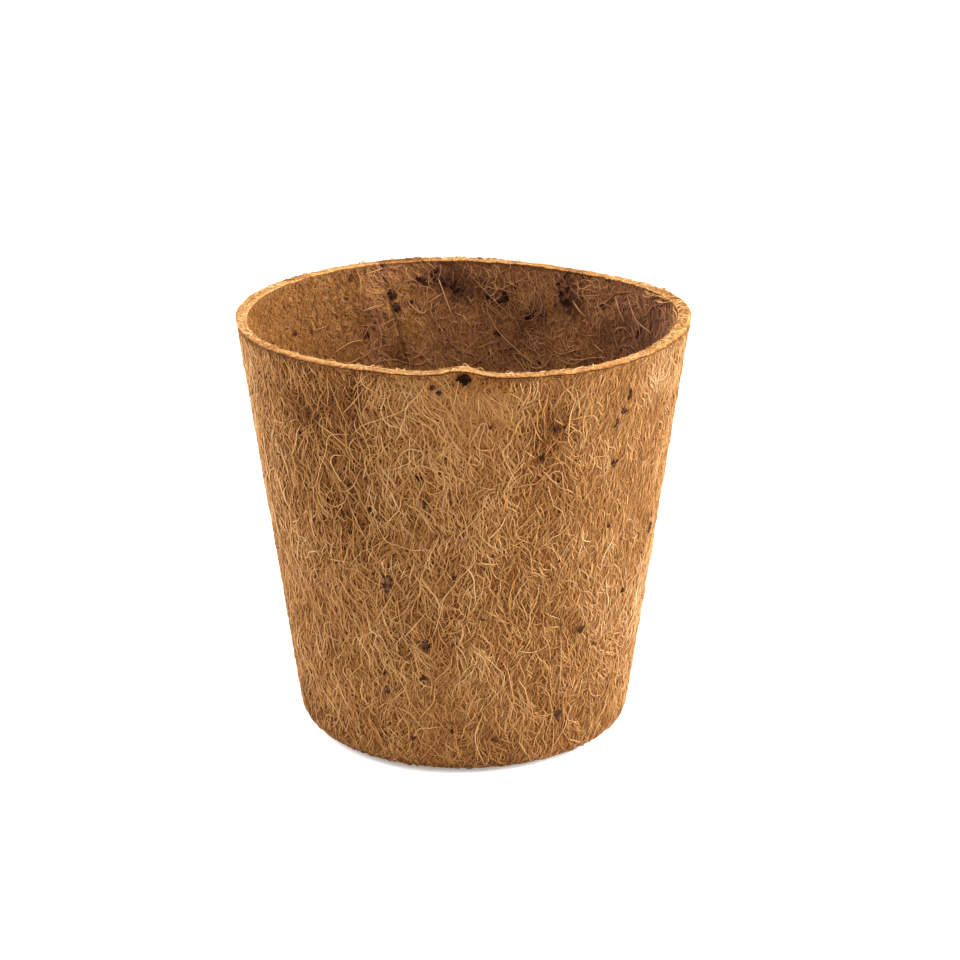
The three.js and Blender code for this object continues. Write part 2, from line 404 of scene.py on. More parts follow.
def makeFelt(name, stops):
    material, add = newMaterial(name)
    place = add("ShaderNodeUVMap", uv_map="wallPlan")
    wander = add("ShaderNodeTexNoise", {
        "Vector": place, "Scale": 1 / feltLook["warpSize"], "Detail": 1.0}, out="Color")
    centred = add("ShaderNodeVectorMath", [wander, (0.5, 0.5, 0.5)], operation="SUBTRACT")
    shift = add("ShaderNodeVectorMath", {0: centred, "Scale": 2 * feltLook["warp"]}, operation="SCALE")
    bent = add("ShaderNodeVectorMath", [place, shift], operation="ADD")
    perWidth = (1 / feltLook["fibreWidth"], 1 / feltLook["fibreLength"], 0)
    mat = None
    for index, degrees in enumerate(feltLook["directions"]):
        turned = add("ShaderNodeMapping", {
            "Vector": bent,
            "Location": [part * index for part in feltLook["setShift"]],
            "Rotation": (0, 0, math.radians(degrees)),
        })
        stretched = add("ShaderNodeVectorMath", [turned, perWidth], operation="MULTIPLY")
        cell = add("ShaderNodeTexVoronoi", {"Vector": stretched, "Scale": 1.0}, voronoi_dimensions="2D").node
        body = add("ShaderNodeMapRange", {"Value": cell.outputs["Distance"], **feltLook["fibreEdge"]})
        own = add("ShaderNodeSeparateXYZ", [cell.outputs["Color"]])
        strength = add("ShaderNodeMath", [own, *feltLook["fibreTone"]], operation="MULTIPLY_ADD")
        fibre = add("ShaderNodeMath", [body, strength], operation="MULTIPLY")
        mat = fibre if mat is None else add("ShaderNodeMath", [mat, fibre], operation="MAXIMUM")
    patches = add("ShaderNodeTexNoise", {"Vector": place, "Scale": 1 / feltLook["patch"], "Detail": 3.0})
    base = add("ShaderNodeMath", [patches, *feltLook["patchTone"]], operation="MULTIPLY_ADD")
    # stains of the felt, with the painted light and shade that are laid in with them
    stain = add("ShaderNodeAttribute", out="Fac", attribute_name="stain")
    stained = add("ShaderNodeMath", [base, stain], operation="ADD")
    tone = add("ShaderNodeMath", [mat, feltLook["matTone"], stained], operation="MULTIPLY_ADD")
    giveSurface(add, {
        "Base Color": add("ShaderNodeValToRGB", [tone], stops=stops),
        "Normal": add("ShaderNodeBump", {
            "Height": mat, "Strength": feltLook["bumpStrength"], "Distance": feltLook["bump"]}),
        "Roughness": feltLook["roughness"],
        "Specular IOR Level": feltLook["gloss"],
    })
    return material


# Single coir fibres: stiff round hairs with a dull waxy gloss, from dark brown to pale gold,
# each of one tone that varies a little along its length. The map holds the tone across and the length up.
fibreLook = {
    "bands": 32,  # tones told apart on the map
    "changes": 7,  # of tone along a fibre
    "changeTone": (0.3, -0.15),  # how large they are, and the darkest one
    "roughness": 0.6,
    "gloss": 0.12,
}


def makeFibreMaterial(name, stops):
    material, add = newMaterial(name)
    place = add("ShaderNodeUVMap", uv_map="OFBake")
    tone = add("ShaderNodeSeparateXYZ", [place], out="X")
    spread = (fibreLook["bands"], fibreLook["changes"], 0)
    stretched = add("ShaderNodeVectorMath", [place, spread], operation="MULTIPLY")
    along = add("ShaderNodeTexNoise", {"Vector": stretched, "Scale": 1.0, "Detail": 2.0})
    shade = add("ShaderNodeMath", [along, *fibreLook["changeTone"]], operation="MULTIPLY_ADD")
    varied = add("ShaderNodeMath", [tone, shade], operation="ADD")
    giveSurface(add, {
        "Base Color": add("ShaderNodeValToRGB", [varied], stops=stops),
        "Roughness": fibreLook["roughness"],
        "Specular IOR Level": fibreLook["gloss"],
    })
    return material


# painted shade: the outside and inside felt are coloured darker than the fibres laid over them, partly their
# own colour and partly the shade in the gaps between the fibres
feltOutside = makeFelt("coirFeltOutside", [(0.05, "2c1606"), (0.4, "6b3f1a"), (0.8, "9b6f40")])
feltInside = makeFelt("coirFeltInside", [(0.05, "4a2c1a"), (0.4, "7e502c"), (0.8, "a87b48")])
feltCut = makeFelt("coirFeltCutEdge", [(0.05, "7c4c22"), (0.4, "b98145"), (0.8, "dcae74")])
fibreOutside = makeFibreMaterial("coirFibreOutside", [
    (0.0, "563113"), (0.18, "72461c"), (0.32, "845727"), (0.42, "946439"), (0.52, "9d703c"), (0.62, "a97c4c"),
    (0.75, "b78e60"), (0.88, "c4a27e"), (1.0, "d0b08c")])
fibreInside = makeFibreMaterial("coirFibreInside", [
    (0.0, "4c2c20"), (0.35, "8c5a3e"), (0.7, "bb865b"), (1.0, "dfb484")])
fibreNeedled = makeFibreMaterial("coirFibreNeedled", [
    (0.0, "462809"), (0.35, "6f4413"), (0.7, "916020"), (1.0, "b48036")])
fibreRim = makeFibreMaterial("coirFibreCutRim", [
    (0.0, "7a4a1e"), (0.35, "b07a40"), (0.7, "cf9c63"), (1.0, "e3bd8c")])
print("materials made")


def onceRound(count):
    return np.linspace(-math.pi, math.pi, count, endpoint=False)[None, :]


def gridMesh(name, points, facesOut=True, capped=False):
    # rows of points, each closed round the pot, with the first and last row filled in where capped
    rows, columns = points.shape[:2]
    index = np.arange(rows * columns).reshape(rows, columns)
    after = np.roll(index, -1, axis=1)
    quads = np.stack([index[:-1], after[:-1], after[1:], index[1:]], axis=-1).reshape(-1, 4)
    if not facesOut:
        quads = quads[:, ::-1]
    faces = quads.tolist()
    if capped:
        faces += [index[0][::-1].tolist(), index[-1].tolist()]
    mesh = bpy.data.meshes.new(name)
    mesh.from_pydata(points.reshape(-1, 3).tolist(), [], faces)
    return mesh


def setAttribute(mesh, name, values, kind="FLOAT", domain="POINT"):
    layer = mesh.attributes.new(name, kind, domain)
    field = "vector" if kind == "FLOAT_VECTOR" else "value"
    layer.data.foreach_set(field, np.ascontiguousarray(values).ravel())


def setPlan(mesh, plan):
    # a map in metres, given for each vertex
    layer = mesh.uv_layers.new(name="wallPlan")
    corner = np.empty(len(mesh.loops), np.int32)
    mesh.loops.foreach_get("vertex_index", corner)
    layer.uv.foreach_set("vector", plan[corner].astype(np.float32).ravel())


# Smooth skins that the fibres are laid on, with what varies over them kept as attributes
skinForm = {
    "step": 1.2 * mm,
    "around": 240,
    "middle": 0.6 * mm,  # radius of the first row of the floor
    "above": 9 * mm,  # carried past the rim, so that fibres there don't fold over it
    "edgeBlur": math.radians(3),
    "looseShare": 0.75,  # of the long strands, away from those zones
    "thinning": 0.45,  # of the mat under more of them
    "stainCover": 2,  # dark stains have fewer fibres
    "coverLimits": (0.4, 1.2),
    "footShade": 0.2,  # darker towards the bottom edge
    "footShadeHeight": 2 * mm,
    "needled": (math.radians(-149), math.radians(-25)),  # inside, where short needled ends show
    "floorPetal": len(petalNames),  # the disc counts as one more
}


def skinProfile(depth):
    # (radius, level) from the floor round the corner and up the wall, at a depth inside the outer face
    step = skinForm["step"]
    floorRun = np.arange(skinForm["middle"], floorEdge, step)
    turn = np.linspace(-math.pi / 2, -slope, int(outerCorner * math.pi / 2 / step))
    levels = np.arange(wallFoot + step, pot["height"] + skinForm["above"], step)
    cornerRadius = outerCorner - depth
    runs = [
        (floorRun, np.full_like(floorRun, depth)),
        (floorEdge + cornerRadius * np.cos(turn), outerCorner + cornerRadius * np.sin(turn)),
        (wallRadius(levels, depth), levels),
    ]
    return np.concatenate([np.stack(run, axis=-1) for run in runs])


def dressSkin(mesh, points, petal, **shares):
    full = np.zeros(points.shape[:2])
    shares["matted"] = 1 - shares["needled"]
    thinned = skinForm["thinning"] * np.maximum(0, full + shares["loose"] - skinForm["looseShare"])
    cover = 1 + skinForm["stainCover"] * (full + shares["stain"]) - thinned
    shares["cover"] = np.clip(cover, *skinForm["coverLimits"])
    for name, share in shares.items():
        setAttribute(mesh, name, full + share)
    setAttribute(mesh, "grain", np.gradient(points, axis=0), "FLOAT_VECTOR")
    setAttribute(mesh, "petal", (full + petal)[:-1].astype(np.int32), "INT", "FACE")


def outsideStainAndPaintedLight(azimuth, level):
    # the stains with their painted light and shade, and darker towards the bottom edge
    foot = np.exp(-((level / skinForm["footShadeHeight"]) ** 2))
    return stainAt(azimuth, level, outerStainsAndPaintedLight) - skinForm["footShade"] * foot


def makeSkin(name, depth, outside):
    profile = skinProfile(depth)
    azimuth = onceRound(skinForm["around"])
    radius, level = profile[:, :1], profile[:, 1:]
    points = skinPoint(azimuth, radius, level)
    mesh = gridMesh(name, points, outside)
    reach = tongueReach(level)
    outerReach = pot["outerLap"] / pot["rimRadius"]
    sinceSeam = (azimuth - pot["firstSeam"] + outerReach) % quarter - outerReach  # whose outer ply is here
    blur = skinForm["edgeBlur"]
    edge = outerReach if outside else -reach
    petal = np.floor((azimuth - pot["firstSeam"] + edge) / quarter) % len(petalNames)
    onDisc = (level < wallFoot) & (radius < (footEnd if outside else discSeat))
    start, end = skinForm["needled"]
    fromMiddle = np.abs(azimuth - (start + end) / 2)
    inZone = ((end - start) / 2 - np.minimum(fromMiddle, 2 * math.pi - fromMiddle)) / blur + 0.5
    moreLoose = stainAt(azimuth, level, looseZones) if outside else 0
    dressSkin(
        mesh, points, np.where(onDisc, skinForm["floorPetal"], petal),
        aboveRim=level - pot["height"],
        pressed=np.clip((reach + blur - sinceSeam) / (2 * blur), 0, 1),
        loose=np.maximum(0, skinForm["looseShare"] + moreLoose),
        contrast=1 + (stainAt(azimuth, level, contrastZones) if outside else 0),
        stain=outsideStainAndPaintedLight(azimuth, level) if outside else stainAt(azimuth, level, insideStains),
        needled=np.clip(np.clip(inZone, 0, 1) + stainAt(azimuth, level, needledPatches), 0, 1))
    return mesh


def makeRimSkin():
    # the cut face of the rim, from the outer edge to the inner one
    azimuth = onceRound(2 * skinForm["around"])
    share = np.linspace(0, 1, rimForm["rows"])[:, None]
    pared = paredAt(azimuth)
    depth = pared + (pot["wall"] - rimForm["inset"] - wornAt(azimuth) - pared) * share
    droop = rimForm["droop"] * np.abs(2 * share - 1) ** rimForm["droopSharpness"]
    points = skinPoint(azimuth, wallRadius(pot["height"], depth), pot["height"] - droop)
    lumps = lumpy(points.reshape(-1, 3) * noHeight, rimForm["lumpSize"])
    points[:, :, 2] += lumps.reshape(points.shape[:2]) * rimForm["lump"]
    mesh = gridMesh("rimSkin", points)
    dressSkin(
        mesh, points, 0, aboveRim=-1.0, pressed=0, contrast=1, needled=0,
        loose=rimForm["loose"] + bumpsAt(azimuth, rimForm["frays"]),
        stain=bumpsAt(azimuth, rimForm["stains"]))
    return mesh


outsideSkin = makeSkin("outsideSkin", 0, True)
insideSkin = makeSkin("insideSkin", pot["wall"], False)
rimSkin = makeRimSkin()
print("skins made")

# Fibre tree: scatters bent forms over a skin, lays them on it, trims them at the rim and gives them body
fibreForm = {
    "patch": 8 * mm,  # size of darker and paler patches
    "clump": 1.7 * mm,  # size of small clumps of one tone
    "swirl": 9 * mm,  # size of the eddies in which fibres turn together
    "ripple": 2.2 * mm,
    "ownRipple": 4e5,  # how far apart two lifts are in the ripples, so that no two fibres ripple alike
    "buried": 1.3,  # tone that would lie on the skin, where darker ones lie deeper
    "ground": 0.17 * mm,  # the lowest a fibre's middle may lie
    "unevenCut": 0.6 * mm,
    "leastPoints": 3,  # of a cut fibre that is kept
    "sides": 3,
    "taper": -0.6,  # of its thickness, towards the ends
    "mapAcross": (0.9, 0.2),  # room in its band of the map, and where it starts
    "mapUp": (0.96, 0.02),
    "drawnStep": 1.1 * mm,
}
# Sizes of a layer of fibres: the unit of its settings, and the inputs that they go to
layerSizes = {
    "perSquareCm": (1e4, "Per square metre"),
    "length": (mm, "Shortest", "Longest"),
    "turn": (math.radians(1), "Turn"),
    "swirl": (math.radians(1), "Swirl"),
    "lift": (mm, "Least lift", "Most lift"),
    "sink": (mm, "Sink"),
    "weave": (mm, "Weave"),
    "radius": (mm, "Thinnest", "Thickest"),
    "tone": (1, "Darkest", "Palest"),
    "patchTone": (1, "Patch tone"),
    "clumpTone": (1, "Clump tone"),
    "pressedTone": (1, "Pressed tone"),
    "trim": (mm, "Trim"),
}
fibreSockets = {
    "Geometry": ["Skin"],
    "Int": ["Petal", "Segments", "Seed"],
    "String": ["Density map"],
    "Collection": ["Forms"],
    "Float": [name for unit, *names in layerSizes.values() for name in names],
    "Material": ["Material"],
}
drawnSockets = {
    "Geometry": ["Paths"],
    "Object": ["Skin"],
    "Float": ["Sink", "Weave", "Trim"],
    "Material": ["Material"],
}
# Attributes that the trees read, of the skins and of the fibres
skinAttributes = {
    "aboveRim": "FLOAT", "petal": "INT", "grain": "FLOAT_VECTOR",
    "contrast": "FLOAT", "pressed": "FLOAT", "stain": "FLOAT",
}
fibreAttributes = ["aboveRim", "tone", "thickness", "lift", "along", "around"]


def makeFibreTree(name, sockets):
    tree, add, given = newTree(name, sockets)
    if sockets is drawnSockets:  # along given paths
        skin = add("GeometryNodeObjectInfo", {"Object": given["Skin"]}, out="Geometry")
        paths = add("GeometryNodeMeshToCurve", {"Mesh": given["Paths"]})
        smooth = add("GeometryNodeCurveSplineType", {"Curve": paths}, spline_type="CATMULL_ROM")
        strands = add("GeometryNodeResampleCurve", {
            "Curve": smooth, "Length": fibreForm["drawnStep"]}, mode="LENGTH")
    else:
        skin = given["Skin"]
        strands = scatterFibres(add, given)
    add("NodeGroupOutput", [finishFibres(add, given, strands, skin)])
    return tree


def scatterFibres(add, given):
    read = {name: add("GeometryNodeInputNamedAttribute", {"Name": name}, data_type=kind)
            for name, kind in skinAttributes.items()}

    # where the fibres lie: on one petal, below the rim
    below = add("FunctionNodeCompare", {
        "A": read["aboveRim"], "B": 0.0}, data_type="FLOAT", operation="LESS_THAN")
    here = add("FunctionNodeCompare", {
        2: read["petal"], 3: given["Petal"]}, data_type="INT", operation="EQUAL")
    chosen = add("FunctionNodeBooleanMath", [below, here], operation="AND")
    share = add("GeometryNodeInputNamedAttribute", {"Name": given["Density map"]}, data_type="FLOAT")
    density = add("ShaderNodeMath", [share, given["Per square metre"]], operation="MULTIPLY")
    scatter = add("GeometryNodeDistributePointsOnFaces", {
        "Mesh": given["Skin"], "Selection": chosen, "Density": density, "Seed": given["Seed"]}).node

    # drawn at random for each one
    ranges = {
        "tone": (given["Darkest"], given["Palest"]),
        "thickness": (given["Thinnest"], given["Thickest"]),
        "lift": (given["Least lift"], given["Most lift"]),
        "turn": (add("ShaderNodeMath", [given["Turn"], -1.0], operation="MULTIPLY"), given["Turn"]),
        "length": (given["Shortest"], given["Longest"]),
    }
    drawn = {}
    for place, (key, (least, most)) in enumerate(ranges.items(), 1):
        seed = add("ShaderNodeMath", [given["Seed"], float(place)], operation="ADD")
        drawn[key] = add("FunctionNodeRandomValue", {
            2: least, 3: most, "Seed": seed}, out=1, data_type="FLOAT")

    # patches, clumps and eddies that neighbours share
    spot = add("GeometryNodeInputPosition")
    shared = {}
    for key, detail in (("patch", 2.0), ("clump", 1.0), ("swirl", 1.0)):
        cloud = add("ShaderNodeTexNoise", {"Vector": spot, "Scale": 1 / fibreForm[key], "Detail": detail})
        shared[key] = add("ShaderNodeMath", [cloud, 0.5], operation="SUBTRACT")

    # what each one is like: tone, thickness and lift
    bothTones = add("ShaderNodeMath", [given["Darkest"], given["Palest"]], operation="ADD")
    middleTone = add("ShaderNodeMath", [bothTones, 0.5], operation="MULTIPLY")
    fromMiddle = add("ShaderNodeMath", [drawn["tone"], middleTone], operation="SUBTRACT")
    tone = add("ShaderNodeMath", [fromMiddle, read["contrast"], middleTone], operation="MULTIPLY_ADD")
    shades = {
        "Clump tone": shared["clump"],
        "Patch tone": shared["patch"],
        "Pressed tone": read["pressed"],
    }
    for strength, amount in shades.items():
        tone = add("ShaderNodeMath", [amount, given[strength], tone], operation="MULTIPLY_ADD")
    likeness = {
        # the fibres take the stains and their painted light and shade too
        "tone": add("ShaderNodeMath", [tone, read["stain"]], operation="ADD", use_clamp=True),
        "thickness": drawn["thickness"],
        "lift": add("ShaderNodeMath", [drawn["lift"], read["contrast"]], operation="MULTIPLY"),
    }
    points = scatter.outputs["Points"]
    for name, value in likeness.items():
        points = add("GeometryNodeStoreNamedAttribute", {"Geometry": points, "Name": name, "Value": value},
                     data_type="FLOAT", domain="POINT")

    # which way it runs: flat on the skin, turned at random from the grain
    upright = add("FunctionNodeAlignRotationToVector", {"Vector": scatter.outputs["Normal"]}, axis="Z")
    combed = add("FunctionNodeAlignRotationToVector", {
        "Rotation": upright, "Vector": read["grain"]}, axis="X", pivot_axis="Z")
    angle = add("ShaderNodeMath", [shared["swirl"], given["Swirl"], drawn["turn"]], operation="MULTIPLY_ADD")
    spin = add("FunctionNodeAxisAngleToRotation", {"Axis": (0, 0, 1), "Angle": angle})
    rotation = add("FunctionNodeRotateRotation", {
        "Rotation": combed, "Rotate By": spin}, rotation_space="LOCAL")
    forms = add("GeometryNodeCollectionInfo", {
        "Collection": given["Forms"], "Separate Children": True, "Reset Children": True})
    laid = add("GeometryNodeInstanceOnPoints", {
        "Points": points, "Instance": forms, "Pick Instance": True, "Rotation": rotation,
        "Scale": drawn["length"]})
    count = add("ShaderNodeMath", [given["Segments"], 1.0], operation="ADD")
    return add("GeometryNodeResampleCurve", {
        "Curve": add("GeometryNodeRealizeInstances", {"Geometry": laid}), "Count": count}, mode="COUNT")


def finishFibres(add, given, strands, skin):
    read = {name: add("GeometryNodeInputNamedAttribute", {"Name": name}, data_type="FLOAT")
            for name in fibreAttributes}

    # bent round the skin, ends sunk in and dark ones deeper, with a weave over and under its neighbours
    skinSpot = add("GeometryNodeProximity", {"Geometry": skin}, target_element="FACES")
    outwards = add("GeometryNodeSampleNearestSurface", {
        "Mesh": skin, "Value": add("GeometryNodeInputNormal")}, data_type="FLOAT_VECTOR")
    spot = add("GeometryNodeInputPosition")
    share = add("GeometryNodeSplineParameter", out="Factor")
    fromMiddle = add("ShaderNodeMath", [share, 2.0, -1.0], operation="MULTIPLY_ADD")
    squared = add("ShaderNodeMath", [fromMiddle, fromMiddle], operation="MULTIPLY")
    arch = add("ShaderNodeMath", [1.0, squared], operation="SUBTRACT")
    ownPlace = add("ShaderNodeMath", [read["lift"], fibreForm["ownRipple"]], operation="MULTIPLY")
    ripple = add("ShaderNodeTexNoise", {
        "Vector": spot, "W": ownPlace, "Scale": 1 / fibreForm["ripple"], "Detail": 0.0,
    }, noise_dimensions="4D")
    rippled = add("ShaderNodeMath", [ripple, 0.5], operation="SUBTRACT")
    raised = add("ShaderNodeMath", [arch, read["lift"]], operation="MULTIPLY")
    woven = add("ShaderNodeMath", [rippled, given["Weave"], raised], operation="MULTIPLY_ADD")
    buried = add("ShaderNodeMath", [fibreForm["buried"], read["tone"]], operation="SUBTRACT")
    ownSink = add("ShaderNodeMath", [buried, given["Sink"]], operation="MULTIPLY")
    height = add("ShaderNodeMath", [woven, ownSink], operation="SUBTRACT")
    lifted = add("ShaderNodeVectorMath", {0: outwards, "Scale": height}, operation="SCALE")
    target = add("ShaderNodeVectorMath", [skinSpot, lifted], operation="ADD")
    lowest = (-1.0, -1.0, fibreForm["ground"])
    ground = add("ShaderNodeVectorMath", [target, lowest], operation="MAXIMUM")
    draped = add("GeometryNodeSetPosition", {"Geometry": strands, "Position": ground})

    # cut at the rim, a little unevenly
    rimHere = add("GeometryNodeSampleNearestSurface", {
        "Mesh": skin, "Value": read["aboveRim"]}, data_type="FLOAT")
    uneven = add("ShaderNodeMath", [read["tone"], fibreForm["unevenCut"]], operation="MULTIPLY")
    cut = add("ShaderNodeMath", [uneven, given["Trim"]], operation="SUBTRACT")
    past = add("FunctionNodeCompare", {"A": rimHere, "B": cut}, data_type="FLOAT", operation="GREATER_THAN")
    trimmed = add("GeometryNodeDeleteGeometry", {"Geometry": draped, "Selection": past}, domain="POINT")
    left = add("GeometryNodeSplineLength", out="Point Count")
    scrap = add("FunctionNodeCompare", {
        2: left, 3: fibreForm["leastPoints"]}, data_type="INT", operation="LESS_THAN")
    kept = add("GeometryNodeDeleteGeometry", {"Geometry": trimmed, "Selection": scrap}, domain="CURVE")

    # body: a thin round tube that tapers to its ends
    along = add("GeometryNodeStoreNamedAttribute", {"Geometry": kept, "Name": "along", "Value": share},
                data_type="FLOAT", domain="POINT")
    ring = add("GeometryNodeCurvePrimitiveCircle", {"Resolution": fibreForm["sides"], "Radius": 1.0})
    rounded = add("GeometryNodeStoreNamedAttribute", {"Geometry": ring, "Name": "around", "Value": share},
                  data_type="FLOAT", domain="POINT")
    fourth = add("ShaderNodeMath", [squared, squared], operation="MULTIPLY")
    taper = add("ShaderNodeMath", [fourth, fibreForm["taper"], 1.0], operation="MULTIPLY_ADD")
    girth = add("ShaderNodeMath", [read["thickness"], taper], operation="MULTIPLY")
    tubes = add("GeometryNodeCurveToMesh", {
        "Curve": along, "Profile Curve": rounded, "Scale": girth, "Fill Caps": True})

    # map: tone across, length up
    lastBand = fibreLook["bands"] - 0.01  # so that the palest tone stays in it
    scaled = add("ShaderNodeMath", [read["tone"], lastBand], operation="MULTIPLY")
    band = add("ShaderNodeMath", [scaled], operation="FLOOR")
    inset = add("ShaderNodeMath", [read["around"], *fibreForm["mapAcross"]], operation="MULTIPLY_ADD")
    across = add("ShaderNodeMath", [band, inset], operation="ADD")
    mapX = add("ShaderNodeMath", [across, float(fibreLook["bands"])], operation="DIVIDE")
    mapY = add("ShaderNodeMath", [read["along"], *fibreForm["mapUp"]], operation="MULTIPLY_ADD")
    mapped = add("GeometryNodeStoreNamedAttribute", {
        "Geometry": tubes, "Name": "OFBake", "Value": add("ShaderNodeCombineXYZ", [mapX, mapY])},
        data_type="FLOAT2", domain="CORNER")
    smooth = add("GeometryNodeSetShadeSmooth", {"Geometry": mapped})
    whole = add("GeometryNodeRealizeInstances", {"Geometry": smooth})
    return add("GeometryNodeSetMaterial", {"Geometry": whole, "Material": given["Material"]})


# Bent forms that fibres take, one unit long: from nearly straight to an open loop
formShapes = {
    "matted": {"count": 14, "points": 7, "bend": 2.2, "wobble": 0.14},
    "long": {"count": 14, "points": 21, "bend": 2.5, "wobble": 0.24},
    "curled": {"count": 18, "points": 25, "bend": 5.0, "wobble": 0.35},
}
formWaves = [(1.3, 1.0), (2.9, 0.6)]  # waves of the wobble: count along a fibre, and share
formSeed = 7


def makeForms(name):
    shape = formShapes[name]
    rng = np.random.default_rng(formSeed)
    group = bpy.data.collections.new(name + "Forms")
    share = np.linspace(0, 1, shape["points"])
    for index in range(shape["count"]):
        lean = 2 * (index + 0.5) / shape["count"] - 1
        bend = shape["bend"] * lean * abs(lean)
        phases = rng.uniform(0, 2 * math.pi, len(formWaves))
        waves = 0
        for (count, size), phase in zip(formWaves, phases):
            waves = waves + size * np.sin(2 * math.pi * count * share + phase)
        heading = bend * (share - 0.5) + shape["wobble"] * waves
        steps = np.stack([np.cos(heading), np.sin(heading)], axis=-1) / (shape["points"] - 1)
        path = np.concatenate([[[0, 0]], np.cumsum(steps[:-1], axis=0)])
        path -= path.mean(axis=0)
        curve = bpy.data.curves.new(f"{name}Form{index:02d}", "CURVE")
        curve.dimensions = "3D"
        spline = curve.splines.new("POLY")
        spline.points.add(shape["points"] - 1)
        for point, (x, y) in zip(spline.points, path):
            point.co = (x, y, 0, 1)
        group.objects.link(bpy.data.objects.new(curve.name, curve))
    return group


fibreTree = makeFibreTree("layFibres", fibreSockets)
drawnTree = makeFibreTree("drawFibres", drawnSockets)
formSets = {name: makeForms(name) for name in formShapes}
print("fibre trees made")


def bakeTree(name, mesh, tree, values):
    # runs a node tree on a mesh and keeps the plain result
    carrier = linkObject(name + "Base", mesh)
    modifier = carrier.modifiers.new(tree.name, "NODES")
    modifier.node_group = tree
    for item in tree.interface.items_tree:
        if item.in_out == "INPUT" and item.name in values:
            modifier[item.identifier] = values[item.name]
    bpy.context.view_layer.update()
    evaluated = carrier.evaluated_get(bpy.context.evaluated_depsgraph_get())
    result = bpy.data.meshes.new_from_object(evaluated)
    result.name = name
    bpy.data.objects.remove(carrier)
    return result


def layFibres(name, skin, settings, petalIndex, seed, material):
    values = {
        "Petal": petalIndex,
        "Segments": settings["segments"],
        "Seed": seed,
        "Density map": settings["densityMap"],
        "Forms": formSets[settings["forms"]],
        "Material": material,
    }
    for key, (unit, *inputNames) in layerSizes.items():
        for inputName, size in zip(inputNames, np.atleast_1d(settings[key])):
            values[inputName] = float(size) * unit
    mesh = bakeTree(name, skin, fibreTree, values)
    if len(mesh.polygons):  # none where the layer doesn't reach the petal
        placePiece(name, mesh)


# Felt bodies of the petals: half-lapped plies with a turned foot, a little lumpy, just below the fibres
petalForm = {
    "rowStep": 1.6 * mm,
    "rowMargin": 0.3 * mm,  # between the last row and an edge
    "footRows": 8,
    "cornerRows": 7,
    "lipRows": 3,
    "lapColumns": 26,
    "middleColumns": 30,
    "skinDepth": 0.45 * mm,  # felt surface below the outermost fibres
    "lump": 0.14 * mm,
    "lumpSize": 2.2 * mm,
    "lipHeight": 0.6 * mm,  # the cut edge stands out a little over the felt
    "lipRound": 0.2 * mm,
    "paintedLipShade": 0.5,  # painted shadow under the lip, strongest at the front
    "lipShadeSpread": 1.5,
    "paintedGapShade": 0.3,  # how much the painted shade of the felt between the fibres follows the zones of contrast
    "closedGap": 0.04 * mm,  # the plies meet above the glue line
    "seamGap": 0.1 * mm,  # felted edges nearly meet
    "innerPlan": 0.2,  # metres on the map from the outer face to the inner one
}


def wallPair(level, outerDepth, innerDepth):
    return (wallRadius(level, outerDepth), level), (wallRadius(level, innerDepth), level)


def petalStations():
    # each level of the profile: outer and inner (radius, height), how far round the corner,
    # the level for the laps and the gap between the plies
    skin, wall, gap = petalForm["skinDepth"], pot["wall"], pot["plyGap"]
    margin = petalForm["rowMargin"]
    stations = []
    for radius in np.linspace(footEnd, discSeat - margin, petalForm["footRows"]):
        stations.append(((radius, skin), (radius, footThickness), 0, 0, gap))
    stations.append(((discSeat + margin, skin), (discSeat, wall - skin), 0, 0, gap))
    centre = np.array([floorEdge, outerCorner])
    for turn in np.linspace(0, 1, petalForm["cornerRows"]):
        angle = -math.pi / 2 + turn * (math.pi / 2 - slope)
        place = np.array([math.cos(angle), math.sin(angle)])
        outer = centre + (outerCorner - skin) * place
        inner = centre + (pot["innerCorner"] + skin) * place
        stations.append((outer, inner, turn, 0, gap))
    lip = pot["height"] - petalForm["lipHeight"]
    for level in np.arange(wallFoot + petalForm["rowStep"], lip - margin, petalForm["rowStep"]):
        stations.append((*wallPair(level, skin, wall - skin), 1, level, gap))
    closed = petalForm["closedGap"]
    stations.append((*wallPair(lip, skin, wall - skin), 1, lip, closed))
    soft = petalForm["lipRound"]
    for drop, inset in ((2 * soft, 0), (soft, 0), (0, soft)):  # the rows of the lip
        level = pot["height"] - drop
        stations.append((*wallPair(level, inset - soft / 2, wall - inset - soft), 1, level, closed))
    return stations


def petalSection(station, seam):
    (outerRadius, outerLevel), (innerRadius, innerLevel), turn, lapLevel, plyGap = station
    gap = petalForm["seamGap"] / outerRadius
    outerStart = seam - gap - pot["outerLap"] / pot["rimRadius"] * turn
    outerEnd = outerStart + quarter - gap
    innerStart = seam + 2 * gap + tongueReach(lapLevel + petalForm["seamGap"])
    innerEnd = seam + quarter + gap + tongueReach(lapLevel)
    thickness = math.hypot(outerRadius - innerRadius, outerLevel - innerLevel)
    ply = (thickness - plyGap) / 2 / thickness
    lap, middle = petalForm["lapColumns"], petalForm["middleColumns"]
    runs = [
        (0, outerStart, innerStart, lap, 0),
        (0, innerStart, outerEnd, middle, 1),
        (1 - ply, outerEnd, innerEnd, lap, 0),
        (1, innerEnd, outerEnd, lap, 0),
        (1, outerEnd, innerStart, middle, 1),
        (ply, innerStart, outerStart, lap, 0),
    ]
    azimuth, depth = [], []
    for share, start, end, count, skip in runs:
        azimuth.append(np.linspace(start, end, count + 1)[skip:])
        depth.append(np.full(count + 1 - skip, share))
    azimuth, depth = np.concatenate(azimuth), np.concatenate(depth)
    radius = outerRadius + (innerRadius - outerRadius) * depth
    level = outerLevel + (innerLevel - outerLevel) * depth
    return azimuth, radius, level, depth


def stripFaces(first, second):
    return [(first[i], first[i + 1], second[i + 1], second[i]) for i in range(len(first) - 1)]


